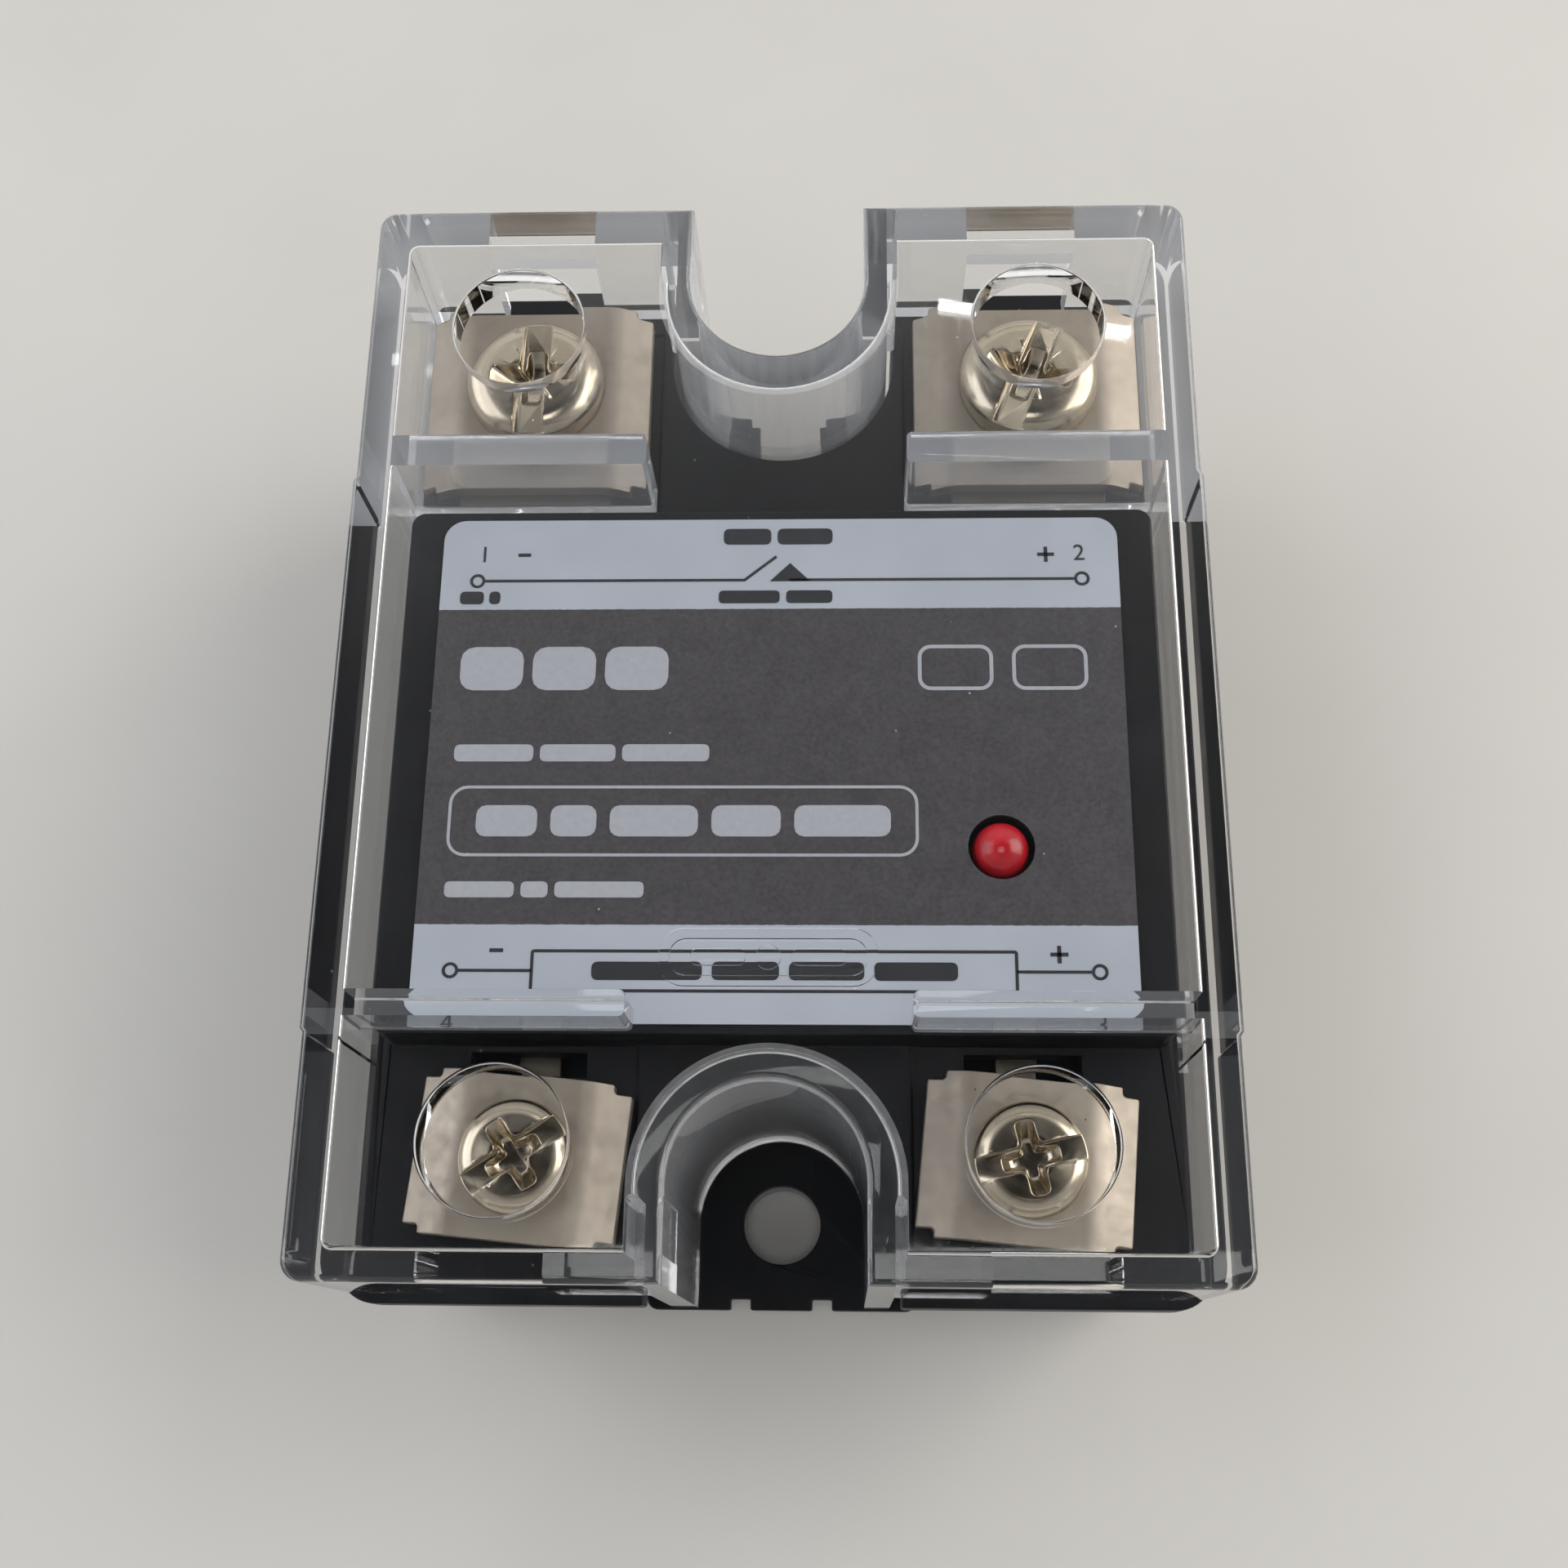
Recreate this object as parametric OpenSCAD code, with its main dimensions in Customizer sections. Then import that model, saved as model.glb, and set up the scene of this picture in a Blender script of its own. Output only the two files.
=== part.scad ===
// Panel-mount solid state relay with a clear safety cover.
// Frame: origin under the middle of the base plate, +Z up, +Y towards the two large
// output terminals, +X to the right. Millimetres.

/* [Overall] */
// Length over the floor tongues, input end to output end
body_l = 57.4; // [57.2:0.1:57.8]
// Length of the ledge that the cover stands on
ledge_l = 58.2; // [57.8:0.1:58.6]
// Width of that ledge
body_w = 43.8; // [43.6:0.1:44]
// Height of the cover's top face above the mounting surface
total_h = 25.4; // [25.2:0.1:26]
// Distance from the middle to each mounting screw
mount_y = 24.0; // [23.8:0.1:24.1]

/* [Base plate] */
// Thickness of the aluminium base plate
plate_t = 2.2; // [2:0.1:2.4]
// Radius of the mounting hole
mount_r = 2.2; // [2.1:0.05:2.3]

/* [Housing] */
// Height of the ledge that carries the terminals and the cover
ledge_z = 16.0; // [15.9:0.1:16.1]
// Height of the raised middle that carries the label
plateau_z = 19.1; // [19:0.1:19.2]
// Width of the raised middle
plateau_w = 40.7; // [40.4:0.1:40.8]
// Input end of the raised middle
plateau_y0 = -16.2; // [-16.3:0.1:-16]
// Output end of the raised middle
plateau_y1 = 12.9; // [12.7:0.1:13]
// Radius of the recess round each mounting screw
recess_r = 6.4; // [6.4:0.05:6.5]
// Thickness of the floor of that recess
floor_t = 1.0; // [0.8:0.1:1]

/* [Cover] */
// Length of the clear cover
cover_l = 57.2; // [57.1:0.1:57.3]
// Width of the clear cover at its ends
cover_w = 44.1; // [44:0.1:44.2]
// Thickness of the cover's side walls
cover_wall = 1.45; // [1.4:0.05:1.45]
// Thickness of the cover's top
cover_top_t = 1.75; // [1.6:0.05:1.8]
// Inner radius of the U-shaped sleeve round each mounting screw
sleeve_r = 4.65; // [4.6:0.05:4.7]
// Radius of each screwdriver hole
driver_r = 3.5; // [3.4:0.05:3.6]
// Free end of each hanging partition, from the middle
rib_x = 6.9; // [6.8:0.1:7.2]

/* [Output terminals] */
// Distance from the middle to an output screw, sideways
out_x = 13.95; // [13.9:0.05:13.95]
// Distance from the middle to an output screw, lengthways
out_y = 21.2; // [21.1:0.1:21.3]
// Radius of the output screw's thread
out_screw_r = 2.0; // [1.95:0.01:2]
// Radius of the output screw's head
out_head_r = 3.9; // [3.7:0.1:3.9]
// Width of the output wire clamp
out_clamp_w = 12.8; // [12.4:0.1:12.8]
// Length of the output wire clamp
out_clamp_l = 10.6; // [10.2:0.1:10.6]

/* [Input terminals] */
// Distance from the middle to an input screw, sideways
in_x = 12.7; // [12.6:0.05:12.8]
// Distance from the middle to an input screw, lengthways
in_y = 22.2; // [22.1:0.1:22.3]
// Radius of the input screw's thread
in_screw_r = 1.5; // [1.45:0.01:1.5]
// Radius of the input screw's head
in_head_r = 2.85; // [2.7:0.05:2.9]
// Width of the input wire clamp
in_clamp_w = 10.6; // [10.2:0.1:10.6]
// Length of the input wire clamp
in_clamp_l = 8.2; // [8:0.1:8.2]
// Angle at which the input clamps sit on their screws
in_clamp_turn = -5.5; // [-5.5:0.5:0]

/* [Label and lamp] */
// Width of the label
label_w = 36.8; // [36:0.1:37]
// Length of the label
label_l = 28.0; // [27.6:0.1:28]
// Place of the label's middle, lengthways
label_y = -1.7; // [-1.7:0.1:-1.6]
// Place of the status lamp, sideways
led_x = 11.67; // [11.4:0.1:11.9]
// Place of the status lamp, lengthways
led_y = -6.45; // [-6.6:0.1:-6.3]

/* [Hidden] */
$fn = 64;

far = 40;                       // a reach past every face, for cuts
floor_z = plate_t + floor_t;    // floor of the mounting recesses
skirt_in = 0.9;                 // how far the housing's sides stand in under the ledge
lip_t = 2.0;                    // thickness of the ledge's lip
wall = 1.6;                     // wall of the housing
recess_wall = 1.2;              // wall round a mounting recess
roof_t = 1.4;                   // thickness of the housing's roofs
fit_gap = 0.05;                 // radial clearance of a screw in its nut or clamp
loose_gap = 0.1;                // clearance of a captive nut in its pocket

strip_t = 1.0;                  // thickness of a terminal strip
strip_top = ledge_z + strip_t;
out_strip_w = 8.6;
in_strip_w = 5.6;
out_end = 26.2;                 // outer end of the output strips
in_end = 25.6;                  // outer end of the input strips
out_leg_y = 9.0;                // middle of the legs that carry the output current down
in_leg_y = 18.6;                // middle of the legs that drop from the input strips
in_leg_t = 0.8;                 // sheet of the input strips' legs and tails
in_tail_y = 12.5;               // inner end of the tails soldered to the board
out_leg_w = 3.4;
in_leg_w = 2.2;
pit_w = 6.0;                    // pit behind each input clamp, where the strip drops
pit_y = 16.6;
pad_x_max = 7.0;                // raised pad round each mounting recess
pad_y_max = 26.8;
pad_h = 0.3;
tongue_w = 15.2;                // floor that reaches past the skirt at each recess
tongue_notch_x = 2.3;

clamp_t = 0.9;                  // sheet of the wire clamps
clamp_top = strip_top + 1.45;   // top face of a closed clamp
clamp_drop = 1.0;               // how far a clamp's wings bend down
wing_w = 2.0;                   // width of a clamp's wing
out_head_h = 2.0;
in_head_h = 1.75;
screw_tip = 10.5;               // lowest point of the terminal screws
tip_gap = 1.0;                  // space under a screw's tip
out_nut_af = 7.0;
out_nut_h = 3.0;
in_nut_af = 5.5;
in_nut_h = 2.4;
nut_top = ledge_z - fit_gap;

board_z = 10.4;
board_t = 1.2;
board_top = board_z + board_t;
board_x = 18.4;
board_y0 = -14.2;
board_y1 = 6.5;
board_pin_y = 5.4;
board_pin_x = [-13.4, -2, 2, 13.4];
ceramic_t = 0.7;
copper_t = 0.3;
chip_t = 0.4;
pad_x = 8.6;                    // middle of each large copper pad
chip_x = [5, 10];               // the two power chips of a pad
ceramic_top = plate_t + ceramic_t;
pad_top = ceramic_top + copper_t;
chip_top = pad_top + chip_t;

led_r = 1.5;
led_hole_r = 1.72;
led_tip = 19.85;
led_flange_z = 14.6;
label_t = 0.15;

sleeve_out_r = sleeve_r + 1.4;
sleeve_foot = floor_z + 0.4;
cover_foot = ledge_z + 0.1;
rail_x = 6.5;                   // outer face of the stiffening rails beside each sleeve
rail_y = 24.5;                  // where those rails start
mid_step = 0.15;                // how much wider the cover is beside the label
mid_y0 = -17.1;
mid_y1 = 12.1;
far_rib_y = 13.35;              // partition at the output end, face towards the label
far_rib_t = 1.8;
far_rib_foot = 17.6;
near_rib_y = -16.2;             // partition at the input end, face towards the screws
near_rib_t = 1.3;
near_rib_foot = 19.7;
window_w = 6.0;                 // wire entries in the cover's end walls
window_x = 13.45;
window_top = 21.2;

// ---- shared shapes -------------------------------------------------------------

module rounded(w, l, r) {
    square([w - 2 * r, l], center = true);
    square([w, l - 2 * r], center = true);
    for (x = [-1, 1], y = [-1, 1])
        translate([x * (w / 2 - r), y * (l / 2 - r)]) circle(r);
}

module slab(w, l, r, z0, z1, y = 0) {
    translate([0, y, z0]) linear_extrude(z1 - z0) rounded(w, l, r);
}

module block(x, y, z0, z1) {
    translate([x[0], y[0], z0]) cube([x[1] - x[0], y[1] - y[0], z1 - z0]);
}

module both_ends() {
    children();
    mirror([0, 1, 0]) children();
}

// A U open towards +Y, its round end centred on a mounting screw
module u_plan(r) {
    translate([0, mount_y]) circle(r);
    translate([-r, mount_y]) square([2 * r, far]);
}

module u_cut(r, z0, z1) {
    translate([0, 0, z0]) linear_extrude(z1 - z0) both_ends() u_plan(r);
}

module at_screws(out = true, in = true) {
    for (s = [-1, 1]) {
        if (out) translate([s * out_x, out_y, 0]) children();
        if (in) translate([s * in_x, -in_y, 0]) children();
    }
}

function hex_r(across_flats) = across_flats / sqrt(3);

// ---- housing and base ----------------------------------------------------------

module base_plate() {
    color("#b9bcc0") difference() {
        slab(body_w - 2 * skirt_in, body_l - 2 * skirt_in, 2, 0, plate_t);
        translate([0, -mount_y, -1]) cylinder(r = mount_r, h = far);
        translate([0, mount_y, -1]) cylinder(r = mount_r, h = far);
        block([-mount_r, mount_r], [mount_y, far], -1, far);
    }
}

// The hollow inside the housing, less the walls round the recesses and the screw pillars
module hollow(gap, z0, z1) {
    inner_w = body_w - 2 * (skirt_in + wall + gap);
    inner_l = body_l - 2 * (skirt_in + wall + gap);
    difference() {
        union() {
            slab(inner_w, inner_l, 1, z0, min(z1, ledge_z - roof_t));
            if (z1 > ledge_z)
                slab(plateau_w - 2 * (roof_t + gap), plateau_y1 - plateau_y0 - 2 * roof_t,
                    1, z0, z1, (plateau_y0 + plateau_y1) / 2);
        }
        u_cut(recess_r + recess_wall + gap, z0 - 1, far);
        at_screws(in = false)
            translate([0, 0, screw_tip - tip_gap - roof_t - gap]) cylinder(r = 5.3 + gap, h = far);
        at_screws(out = false)
            translate([0, 0, screw_tip - tip_gap - roof_t - gap]) cylinder(r = 4.4 + gap, h = far);
    }
}

module nut_pocket(across_flats, height, tip_r) {
    translate([0, 0, nut_top - height - loose_gap])
        cylinder(r = hex_r(across_flats) + loose_gap, h = far, $fn = 6);
    translate([0, 0, screw_tip - tip_gap]) cylinder(r = tip_r, h = far);
}

module housing() {
    slot_top = strip_top + loose_gap;
    color("#2b2c2d") difference() {
        union() {
            slab(body_w - 2 * skirt_in, body_l - 2 * skirt_in, 2, plate_t, ledge_z);
            slab(body_w, ledge_l, 2, ledge_z - lip_t, ledge_z);
            slab(plateau_w, plateau_y1 - plateau_y0, 0.8, ledge_z - 1, plateau_z,
                (plateau_y0 + plateau_y1) / 2);
            slab(2 * pad_x_max, 2 * pad_y_max, 1, ledge_z - 1, ledge_z + pad_h);
            slab(tongue_w, body_l, 0.6, plate_t, floor_z);
        }
        both_ends() for (s = [-1, 1])
            translate([s * tongue_notch_x, body_l / 2, 0]) cube([1.1, 1.2, far], center = true);
        u_cut(recess_r, floor_z, far);
        hollow(0, plate_t - 1, plateau_z - roof_t);
        both_ends() translate([0, mount_y, 0]) cylinder(r = mount_r, h = far);
        block([-mount_r, mount_r], [mount_y, far], 0, far);
        at_screws(in = false) nut_pocket(out_nut_af, out_nut_h, out_screw_r + 0.5);
        at_screws(out = false) nut_pocket(in_nut_af, in_nut_h, in_screw_r + 0.5);
        for (s = [-1, 1]) {
            block([s * out_x - out_strip_w / 2 - loose_gap, s * out_x + out_strip_w / 2 + loose_gap],
                [out_leg_y, plateau_y1 + 1], ledge_z, slot_top);
            block([s * in_x - pit_w / 2, s * in_x + pit_w / 2],
                [-in_leg_y + in_leg_t, -pit_y], ledge_z - roof_t - 1, slot_top);
            block([s * in_x - in_leg_w / 2 - loose_gap, s * in_x + in_leg_w / 2 + loose_gap],
                [-in_leg_y - in_leg_t / 2 - loose_gap, -pit_y], board_top - loose_gap, slot_top);
        }
        translate([led_x, led_y, board_top]) cylinder(r = led_hole_r, h = far);
    }
}

module potting_gel() {
    color("#3a3f46") difference() {
        hollow(loose_gap, chip_top + 0.5, board_z - 0.5);
        for (s = [-1, 1])
            block([s * out_x - out_leg_w / 2 - loose_gap, s * out_x + out_leg_w / 2 + loose_gap],
                [out_leg_y - strip_t / 2 - loose_gap, out_leg_y + strip_t / 2 + loose_gap], 0, far);
        for (x = board_pin_x)
            translate([x, board_pin_y, 0]) cylinder(r = 0.4 + loose_gap, h = far);
    }
}

// ---- power stage ---------------------------------------------------------------

module ceramic_substrate() {
    color("#e8e6de") slab(34, 21.4, 0.6, plate_t, ceramic_top, -0.7);
}

module copper_pads() {
    color("#b87333") for (s = [-1, 1]) {
        translate([s * pad_x, 0, 0]) {
            slab(14.6, 10.2, 0.4, ceramic_top, pad_top, 4.6);
            slab(14.6, 4.2, 0.4, ceramic_top, pad_top, -4.8);
        }
    }
}

module power_chips() {
    color("#555a60") for (s = [-1, 1], x = chip_x)
        translate([s * x, 0, 0]) slab(4.2, 4.2, 0.2, pad_top, chip_top, 3.6);
}

module chip_clips() {
    color("#c98550") for (s = [-1, 1], x = chip_x) {
        mid = s * x;
        block([mid - 1.1, mid + 1.1], [-5.6, 4.4], chip_top, chip_top + 0.3);
        block([mid - 1.1, mid + 1.1], [-5.6, -4.8], pad_top, chip_top);
    }
}

// ---- control board -------------------------------------------------------------

module control_board() {
    color("#2f6b3c") difference() {
        slab(2 * board_x, board_y1 - board_y0, 0.8, board_z, board_top, (board_y0 + board_y1) / 2);
        for (x = board_pin_x)
            translate([x, board_pin_y, 0]) cylinder(r = 0.45, h = far);
        for (s = [-1, 1])
            translate([led_x + s * 1.27, led_y, 0]) cylinder(r = 0.35, h = far);
    }
}

module legged_chip(w, l, h, pitch, pins) {
    block([-w / 2, w / 2], [-l / 2, l / 2], board_top + 0.3, board_top + 0.3 + h);
    for (s = [-1, 1], k = [0 : pins - 1]) {
        y = (k - (pins - 1) / 2) * pitch;
        block(s > 0 ? [w / 2 - 0.2, w / 2 + 1] : [-w / 2 - 1, -w / 2 + 0.2],
            [y - 0.25, y + 0.25], board_top + 1.0, board_top + 1.25);
        block(s > 0 ? [w / 2 + 0.75, w / 2 + 1] : [-w / 2 - 1, -w / 2 - 0.75],
            [y - 0.25, y + 0.25], board_top, board_top + 1.25);
    }
}

module optocoupler() {
    color("#e9e7df") translate([-8, -2.5, 0]) legged_chip(6.4, 8.8, 3.4, 2.54, 3);
}

module driver_chip() {
    color("#26282b") translate([1.5, -2.2, 0]) legged_chip(3.9, 4.9, 1.5, 1.27, 4);
}

// A round body lying along Y with a wire out of each end, bent down to the board
module axial(x, y, body_r, body_len, span) {
    lift = board_top + body_r + 0.1;
    translate([x, y, lift]) rotate([90, 0, 0]) cylinder(r = body_r, h = body_len, center = true);
    translate([x, y, lift]) rotate([90, 0, 0]) cylinder(r = 0.25, h = span + 0.5, center = true);
    for (s = [-1, 1])
        translate([x, y + s * span / 2, board_top]) cylinder(r = 0.25, h = lift - board_top);
}

module resistors() {
    color("#8fa7c4") for (x = [-16.2, -13.6], y = [-7.4, 1]) axial(x, y, 0.9, 3.6, 5.4);
}

module capacitor() {
    color("#3c4f8a") translate([7.2, -1.6, board_top + 0.1]) cylinder(r = 2.4, h = 5.2);
}

module diodes() {
    color("#b5532b") for (x = [-2.5, 1.5, 5.5]) axial(x, -10.2, 0.8, 3.2, 5.2);
}

module surge_suppressor() {
    color("#3f4145") translate([14.2, 0.6, 0]) {
        block([-2.6, 2.6], [-3, 3], board_top + 0.2, board_top + 2.6);
        for (s = [-1, 1])
            block([-1, 1], s > 0 ? [2.8, 4] : [-4, -2.8], board_top, board_top + 0.6);
    }
}

module board_pins() {
    color("#c9a44c") for (x = board_pin_x)
        translate([x, board_pin_y, pad_top]) cylinder(r = 0.4, h = board_top + 0.6 - pad_top);
}

module led_lens() {
    color("#b01820") translate([led_x, led_y, 0]) {
        translate([0, 0, led_flange_z]) cylinder(r = 1.65, h = 1);
        translate([0, 0, led_flange_z]) cylinder(r = led_r, h = led_tip - led_r - led_flange_z);
        translate([0, 0, led_tip - led_r]) sphere(led_r);
    }
}

module led_leads() {
    color("#c4c6c8") for (s = [-1, 1])
        translate([led_x + s * 1.27, led_y, board_z - 0.4])
            cylinder(r = 0.25, h = led_flange_z - board_z + 0.4);
}

module label() {
    color("#9ca2ab") difference() {
        slab(label_w, label_l, 1.2, plateau_z, plateau_z + label_t, label_y);
        translate([led_x, led_y, 0]) cylinder(r = led_hole_r, h = far);
    }
}

// ---- terminals -----------------------------------------------------------------

// A strip under the clamp that turns down to a narrow leg
module terminal(w, outer, hole_y, hole_r, leg_y, leg_w, leg_t, leg_foot) {
    difference() {
        block([-w / 2, w / 2], [leg_y - leg_t / 2, outer], ledge_z, strip_top);
        translate([0, hole_y, 0]) cylinder(r = hole_r, h = far);
    }
    block([-leg_w / 2, leg_w / 2], [leg_y - leg_t / 2, leg_y + leg_t / 2], leg_foot, strip_top);
}

module output_terminal(s) {
    color("#a79c8b") translate([s * out_x, 0, 0])
        terminal(out_strip_w, out_end, out_y, out_screw_r + 0.4, out_leg_y, out_leg_w, strip_t, pad_top);
}

module input_terminal(s) {
    color("#a79c8b") translate([s * in_x, 0, 0]) mirror([0, 1, 0]) {
        terminal(in_strip_w, in_end, in_y, in_screw_r + 0.4, in_leg_y, in_leg_w, in_leg_t, board_top);
        block([-in_leg_w / 2, in_leg_w / 2], [in_tail_y, in_leg_y], board_top, board_top + in_leg_t);
    }
}

module output_terminal_left() { output_terminal(-1); }
module output_terminal_right() { output_terminal(1); }
module input_terminal_left() { input_terminal(-1); }
module input_terminal_right() { input_terminal(1); }

module captive_nut(across_flats, height, thread_r) {
    color("#a9a49a") translate([0, 0, nut_top - height]) difference() {
        cylinder(r = hex_r(across_flats), h = height, $fn = 6);
        translate([0, 0, -1]) cylinder(r = thread_r + fit_gap, h = far);
    }
}

module output_nut(s) {
    translate([s * out_x, out_y, 0]) captive_nut(out_nut_af, out_nut_h, out_screw_r);
}

module input_nut(s) {
    translate([s * in_x, -in_y, 0]) captive_nut(in_nut_af, in_nut_h, in_screw_r);
}

module output_nut_left() { output_nut(-1); }
module output_nut_right() { output_nut(1); }
module input_nut_left() { input_nut(-1); }
module input_nut_right() { input_nut(1); }

// A sheet-metal saddle: flat over the strip, with a wing bent down on each side
module clamp(w, l, hole_r) {
    flat = w / 2 - wing_w;
    notch = 0.9;
    color("#aca394") difference() {
        rotate([90, 0, 0]) linear_extrude(l, center = true) polygon([
            [-w / 2, clamp_top - clamp_drop], [-flat, clamp_top],
            [flat, clamp_top], [w / 2, clamp_top - clamp_drop],
            [w / 2, clamp_top - clamp_drop - clamp_t], [flat, clamp_top - clamp_t],
            [-flat, clamp_top - clamp_t], [-w / 2, clamp_top - clamp_drop - clamp_t]]);
        cylinder(r = hole_r, h = far);
        for (x = [-1, 1], y = [-1, 1])
            translate([x * (w / 2), y * (l / 2), far / 2])
                cube([2 * notch, notch, far], center = true);
    }
}

module output_clamp(s) {
    translate([s * out_x, out_y, 0]) clamp(out_clamp_w, out_clamp_l, out_screw_r + fit_gap);
}

module input_clamp(s) {
    translate([s * in_x, -in_y, 0]) rotate([0, 0, in_clamp_turn])
        clamp(in_clamp_w, in_clamp_l, in_screw_r + fit_gap);
}

module output_clamp_left() { output_clamp(-1); }
module output_clamp_right() { output_clamp(1); }
module input_clamp_left() { input_clamp(-1); }
module input_clamp_right() { input_clamp(1); }

// Pan head with a straight slot over a cross recess; the shank stands on the screw's axis
module terminal_screw(shank_r, head_r, head_h, turn) {
    under = clamp_top + fit_gap;
    dome_r = 2.2 * head_r;
    color("#b3ac9c") difference() {
        union() {
            translate([0, 0, screw_tip + 0.5]) cylinder(r = shank_r, h = under - screw_tip);
            translate([0, 0, screw_tip]) cylinder(r = shank_r - 0.35, h = 1);
            intersection() {
                translate([0, 0, under]) cylinder(r = head_r, h = head_h);
                translate([0, 0, under + head_h - dome_r]) sphere(dome_r, $fn = 96);
            }
        }
        rotate([0, 0, turn]) translate([0, 0, under + head_h]) {
            cube([far, 0.26 * head_r, head_h], center = true);
            for (a = [0, 90])
                rotate([0, 0, a]) cube([1.15 * head_r, 0.22 * head_r, 1.5 * head_h], center = true);
        }
    }
}

module output_screw(s, turn) {
    translate([s * out_x, out_y, 0]) terminal_screw(out_screw_r, out_head_r, out_head_h, turn);
}

module input_screw(s, turn) {
    translate([s * in_x, -in_y, 0]) terminal_screw(in_screw_r, in_head_r, in_head_h, turn);
}

module output_screw_left() { output_screw(-1, 88); }
module output_screw_right() { output_screw(1, 68); }
module input_screw_left() { input_screw(-1, 34); }
module input_screw_right() { input_screw(1, 13); }

// ---- cover ---------------------------------------------------------------------

module partition(y0, thickness, foot) {
    inner_x = cover_w / 2 - cover_wall;
    for (s = [-1, 1])
        block(s > 0 ? [rib_x, inner_x + 0.5] : [-inner_x - 0.5, -rib_x],
            [y0, y0 + thickness], foot, total_h - 0.5);
}

module badge() {
    translate([0, -13.6, total_h - 0.1]) linear_extrude(0.3) {
        difference() {
            rounded(10.4, 2.8, 1.2);
            rounded(9.4, 1.8, 0.8);
        }
        for (s = [-1, 1])
            translate([s * 2.4, 0]) rounded(2.6, 0.8, 0.35);
        circle(0.6);
    }
}

module cover() {
    inner_w = cover_w - 2 * cover_wall;
    inner_l = cover_l - 2 * cover_wall;
    color("#dfe6ee", 0.35) difference() {
        union() {
            difference() {
                union() {
                    slab(cover_w, cover_l, 1, cover_foot, total_h);
                    slab(cover_w + 2 * mid_step, mid_y1 - mid_y0, 0.1, cover_foot, total_h,
                        (mid_y0 + mid_y1) / 2);
                }
                slab(inner_w, inner_l, 0.6, 0, total_h - cover_top_t);
            }
            partition(far_rib_y, far_rib_t, far_rib_foot);
            partition(near_rib_y, near_rib_t, near_rib_foot);
            intersection() {
                u_cut(sleeve_out_r, sleeve_foot, total_h);
                slab(cover_w, cover_l, 1, 0, total_h);
            }
            both_ends() for (s = [-1, 1])
                block(s > 0 ? [sleeve_r + 0.5, rail_x] : [-rail_x, -sleeve_r - 0.5],
                    [rail_y, cover_l / 2 - 0.5], cover_foot + pad_h + 0.2, total_h - 0.5);
            badge();
        }
        u_cut(sleeve_r, 0, far);
        at_screws() translate([0, 0, total_h - cover_top_t - 1]) cylinder(r = driver_r, h = far);
        both_ends() for (s = [-1, 1])
            block([s * window_x - window_w / 2, s * window_x + window_w / 2],
                [inner_l / 2 - 0.5, far], 0, window_top);
    }
}

base_plate();
housing();
potting_gel();
ceramic_substrate();
copper_pads();
power_chips();
chip_clips();
control_board();
optocoupler();
driver_chip();
resistors();
capacitor();
diodes();
surge_suppressor();
board_pins();
led_lens();
led_leads();
label();
output_terminal_left();
output_terminal_right();
input_terminal_left();
input_terminal_right();
output_nut_left();
output_nut_right();
input_nut_left();
input_nut_right();
output_clamp_left();
output_clamp_right();
input_clamp_left();
input_clamp_right();
output_screw_left();
output_screw_right();
input_screw_left();
input_screw_right();
cover();
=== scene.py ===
# A panel-mount solid state relay: its finishes, its mesh-worked pieces and its studio.
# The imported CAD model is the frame. Sizes are in millimetres and become metres through MM.
import math

import bmesh
import bpy
from mathutils import Matrix, Vector


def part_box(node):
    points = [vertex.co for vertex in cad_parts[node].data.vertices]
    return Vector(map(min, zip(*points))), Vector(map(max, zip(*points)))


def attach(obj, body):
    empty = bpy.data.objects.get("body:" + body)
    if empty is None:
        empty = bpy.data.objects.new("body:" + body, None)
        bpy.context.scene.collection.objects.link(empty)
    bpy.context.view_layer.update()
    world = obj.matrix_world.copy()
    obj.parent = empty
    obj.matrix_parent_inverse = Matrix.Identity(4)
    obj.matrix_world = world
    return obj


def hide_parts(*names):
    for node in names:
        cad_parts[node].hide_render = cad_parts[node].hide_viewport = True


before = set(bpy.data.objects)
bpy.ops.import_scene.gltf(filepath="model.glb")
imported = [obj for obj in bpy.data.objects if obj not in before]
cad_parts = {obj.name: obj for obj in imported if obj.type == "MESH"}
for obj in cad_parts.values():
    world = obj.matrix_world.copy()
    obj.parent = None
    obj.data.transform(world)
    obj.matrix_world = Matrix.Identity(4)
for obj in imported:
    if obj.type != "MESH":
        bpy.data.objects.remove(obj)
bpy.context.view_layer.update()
MM = 0.001

# ---- driving sizes, in millimetres ---------------------------------------------

COVER_W, COVER_L = 44.1, 57.2      # clear cover, outside
COVER_WALL, COVER_TOP = 1.45, 1.75
COVER_STEP = 0.15                  # how much wider it is beside the label
COVER_STEP_Y = (-17.1, 12.1)
COVER_CORNER = 1.0
COVER_FILLET = 0.35
SLEEVE_PAINTED_SHEEN, FOOT_PAINTED_SHEEN, RIB_PAINTED_SHEEN = 0.1, 0.34, 0.1  # painted sheen: how much whitish frost these stretches get, in place of reflections and light through the walls
SLEEVE_LESS, FOOT_LESS = 0.35, 0.92                # the share of it that the input end lacks
MOUNT_Y = 24.0
SLEEVE_R = 4.65                    # inner radius of the sleeve round a mounting screw
SLEEVE_WALL = 1.4
SLEEVE_FOOT = 3.6
RAIL_X, RAIL_Y, RAIL_FOOT = 6.5, 24.5, 16.6
DRIVER_R, DRIVER_RIM = 3.5, 0.12
RIB_X = 6.9
FAR_RIB = (13.35, 1.8, 17.6)       # face, thickness, foot
NEAR_RIB = (-16.2, 1.3, 19.7)
WINDOW_X, WINDOW_W, WINDOW_TOP = 13.45, 6.0, 21.2
BADGE_Y, BADGE_H = -13.6, 0.2

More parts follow.
